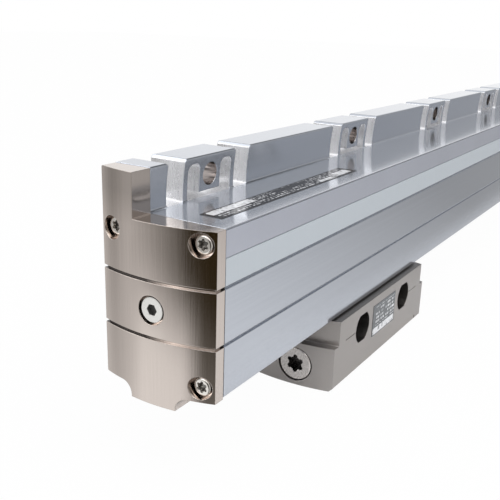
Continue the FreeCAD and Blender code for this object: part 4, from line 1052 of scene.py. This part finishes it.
class SetStage(bpy.types.Operator):
    """Lays the pale floor and sets the lights, the surroundings and the camera"""
    bl_idname = "glass_scale.stage"
    bl_label = "Stage"

    def execute(self, context):
        settings = context.scene.stage_settings
        bpy.ops.object.select_all(action="DESELECT")
        bpy.ops.mesh.primitive_plane_add(size=8, location=(0, 0, CAD_BOX[0][2] - 0.2 * MM))
        floor = bpy.context.object
        floor.name = "floor"
        dress(floor, self.paper(settings))
        self.surroundings(context.scene, settings)
        self.softbox("key_light", place=(-0.25, -0.35, 0.75), target=(-0.1, -0.02, 0), power=settings.key, size=0.7)
        self.camera(context.scene, settings)
        context.scene.view_settings.view_transform = "Standard"
        return {"FINISHED"}

    def paper(self, settings):
        """Pale paper that the eye sees as nearly white, and that mirrors see only close to the part."""
        paper = Finish("floor_paper")
        rays = paper.nodes.new("ShaderNodeLightPath").outputs
        fibre = paper.noise(300)
        paper.set(Base_Color=paper.blend(fibre, tint(settings.floor, 0.98), tuple(settings.floor)), Roughness=0.9)
        glow = paper.nodes.new("ShaderNodeEmission").outputs["Emission"]
        clear = paper.nodes.new("ShaderNodeBsdfTransparent").outputs["BSDF"]
        seen = paper.mixed(paper.times(rays["Is Camera Ray"], settings.white), paper.shader.outputs["BSDF"], glow)
        past_ends = paper.ramp(paper.size(paper.axis(0)), 230 * MM, 245 * MM)
        past_sides = paper.ramp(paper.size(paper.plus(paper.axis(1), 20 * MM)), 35 * MM, 55 * MM)
        away = paper.maths("MAXIMUM", past_ends, past_sides)
        paper.link(paper.mixed(paper.times(rays["Is Glossy Ray"], away), seen, clear),
                   paper.nodes["Material Output"].inputs["Surface"])
        return paper

    def surroundings(self, scene, settings):
        """White for the eye, plain light on the object, and a studio with a dark side for reflections.

        In the studio, x, y and z say in which direction a reflection looks: beyond the far end, to the back, and up.
        """
        world = bpy.data.worlds.new("studio")
        scene.world = world
        studio = NodeBench(world, "Generated", "Background")
        rays = studio.nodes.new("ShaderNodeLightPath").outputs
        times, ramp, fade = studio.times, studio.ramp, studio.fade
        x, y, z = (studio.axis(index) for index in range(3))
        left, right, front = ramp(x, 0.0, -0.35), ramp(x, -0.1, 0.3), ramp(y, 0.1, -0.1)

        # The room beside the camera: dark on the camera's right, paler low down and towards the back
        side_level = studio.maths("MAXIMUM", ramp(y, 0.14, 1.19), studio.span(y, -0.3, -0.7, 0.0, 0.55))
        low_down = times(ramp(studio.minus(times(y, 0.1), z), 0.37, 0.47), studio.span(y, 0.0, 0.2, 0.15, 1.0),
                         studio.span(y, 0.62, 0.78, 1.0, 0.1))
        level = studio.plus(side_level, times(studio.minus(1.0, side_level), low_down))
        level = times(level, studio.span(y, 0.78, 0.9, 1.0, 0.52))
        rise = studio.plus(z, times(y, 0.3))
        room = times(left, fade(rise, 0.15, 0.35), studio.minus(1.0, level))

        # The floor in front darkens with distance, up to a dark horizon under the pale wall
        near = studio.span(studio.plus(z, times(y, 0.5)), -0.35, -0.65, 0.40, 0.86)
        wall = studio.span(z, -0.10, 0.30, 0.38, 0.50)
        beyond = times(right, front, studio.minus(1.0, studio.maths("MAXIMUM", near, wall)))

        # Overhead: a dark gap between the pale wall and the screen above, and a bright window on the left
        gap = times(ramp(z, 0.40, 0.48), ramp(z, 0.90, 0.84), ramp(x, 0.0, 0.15), 0.75)
        window = times(ramp(x, -0.25, -0.5), ramp(y, 0.1, 0.3), ramp(z, 0.04, 0.14))
        overhead = times(ramp(z, 0.62, 0.70), fade(z, 0.80, 0.86), ramp(x, 0.15, 0.0))
        screen = studio.maths("MAXIMUM", window, overhead)

        shade = studio.blend(beyond, (1, 1, 1), (0, 0, 0))
        shade = studio.blend(room, shade, tuple(settings.card))
        shade = studio.blend(gap, shade, (0, 0, 0))
        lamps = studio.span(screen, 0.0, 1.0, 1.0, settings.screen)
        studio.set(Color=shade, Strength=studio.plus(lamps, times(window, 0.7)))
        white = studio.new("ShaderNodeBackground", Color=(1, 1, 1, 1)).outputs["Background"]
        even = studio.new("ShaderNodeBackground", Color=(1, 1, 1, 1), Strength=settings.world).outputs["Background"]
        lit = studio.mixed(rays["Is Diffuse Ray"], white, even)
        studio.link(studio.mixed(rays["Is Glossy Ray"], lit, studio.shader.outputs["Background"]),
                    studio.nodes["World Output"].inputs["Surface"])

    def softbox(self, name, place, target, power, size):
        """A soft square light that looks at a point."""
        light = bpy.data.lights.new(name, "AREA")
        light.energy = power
        light.size = size
        holder = bpy.data.objects.new(name, light)
        holder.location = place
        holder.rotation_euler = (Vector(target) - Vector(place)).to_track_quat("-Z", "Y").to_euler()
        bpy.context.scene.collection.objects.link(holder)

    def camera(self, scene, settings):
        """A camera that sees the part as the photograph shows it."""
        camera = bpy.data.cameras.new("camera")
        camera.sensor_width = 36
        camera.lens = settings.camera_lens
        camera.clip_start = 10 * MM
        holder = bpy.data.objects.new("camera", camera)
        scene.collection.objects.link(holder)
        heading = Matrix.Rotation(settings.camera_heading - math.pi / 2, 4, "Z")
        tilt = Matrix.Rotation(settings.camera_tilt + math.pi / 2, 4, "X")
        roll = Matrix.Rotation(settings.camera_roll, 4, "Z")
        holder.matrix_world = Matrix.Translation(settings.camera_place) @ heading @ tilt @ roll
        scene.camera = holder


class GlassScalePanel(bpy.types.Panel):
    """Lists the pieces of the glass scale"""
    bl_idname = "VIEW3D_PT_glass_scale"
    bl_label = "Glass scale"
    bl_space_type = "VIEW_3D"
    bl_region_type = "UI"
    bl_category = "Glass scale"

    def draw(self, context):
        for step in STEPS:
            self.layout.operator(step.bl_idname)
        for name in GROUPS:
            group = getattr(context.scene, name)
            part = self.layout.box()
            part.label(text=name.replace("_", " "))
            for key in group.bl_rna.properties.keys():
                if key not in ("rna_type", "name"):
                    part.prop(group, key)


GROUPS = {
    "cap_sizes": CapSizes, "screw_sizes": ScrewSizes, "plug_sizes": PlugSizes, "head_sizes": HeadSizes,
    "end_plug_sizes": EndPlugSizes, "housing_colours": HousingColours, "stage_settings": StageSettings,
}
STEPS = (SetStage, FinishHousing, FinishInnerPieces, ModelEndCaps, ModelCapScrews, ModelAirPlugs, ModelHeadBlock,
         ModelEndPlug)


def register():
    for group in (*GROUPS.values(), *STEPS, GlassScalePanel):
        bpy.utils.register_class(group)
    for name, group in GROUPS.items():
        setattr(bpy.types.Scene, name, PointerProperty(type=group))


def unregister():
    for name in GROUPS:
        delattr(bpy.types.Scene, name)
    for group in reversed((*GROUPS.values(), *STEPS, GlassScalePanel)):
        bpy.utils.unregister_class(group)


def main():
    register()
    for step in STEPS:
        family, name = step.bl_idname.split(".")
        getattr(getattr(bpy.ops, family), name)()


if __name__ == "__main__":
    main()
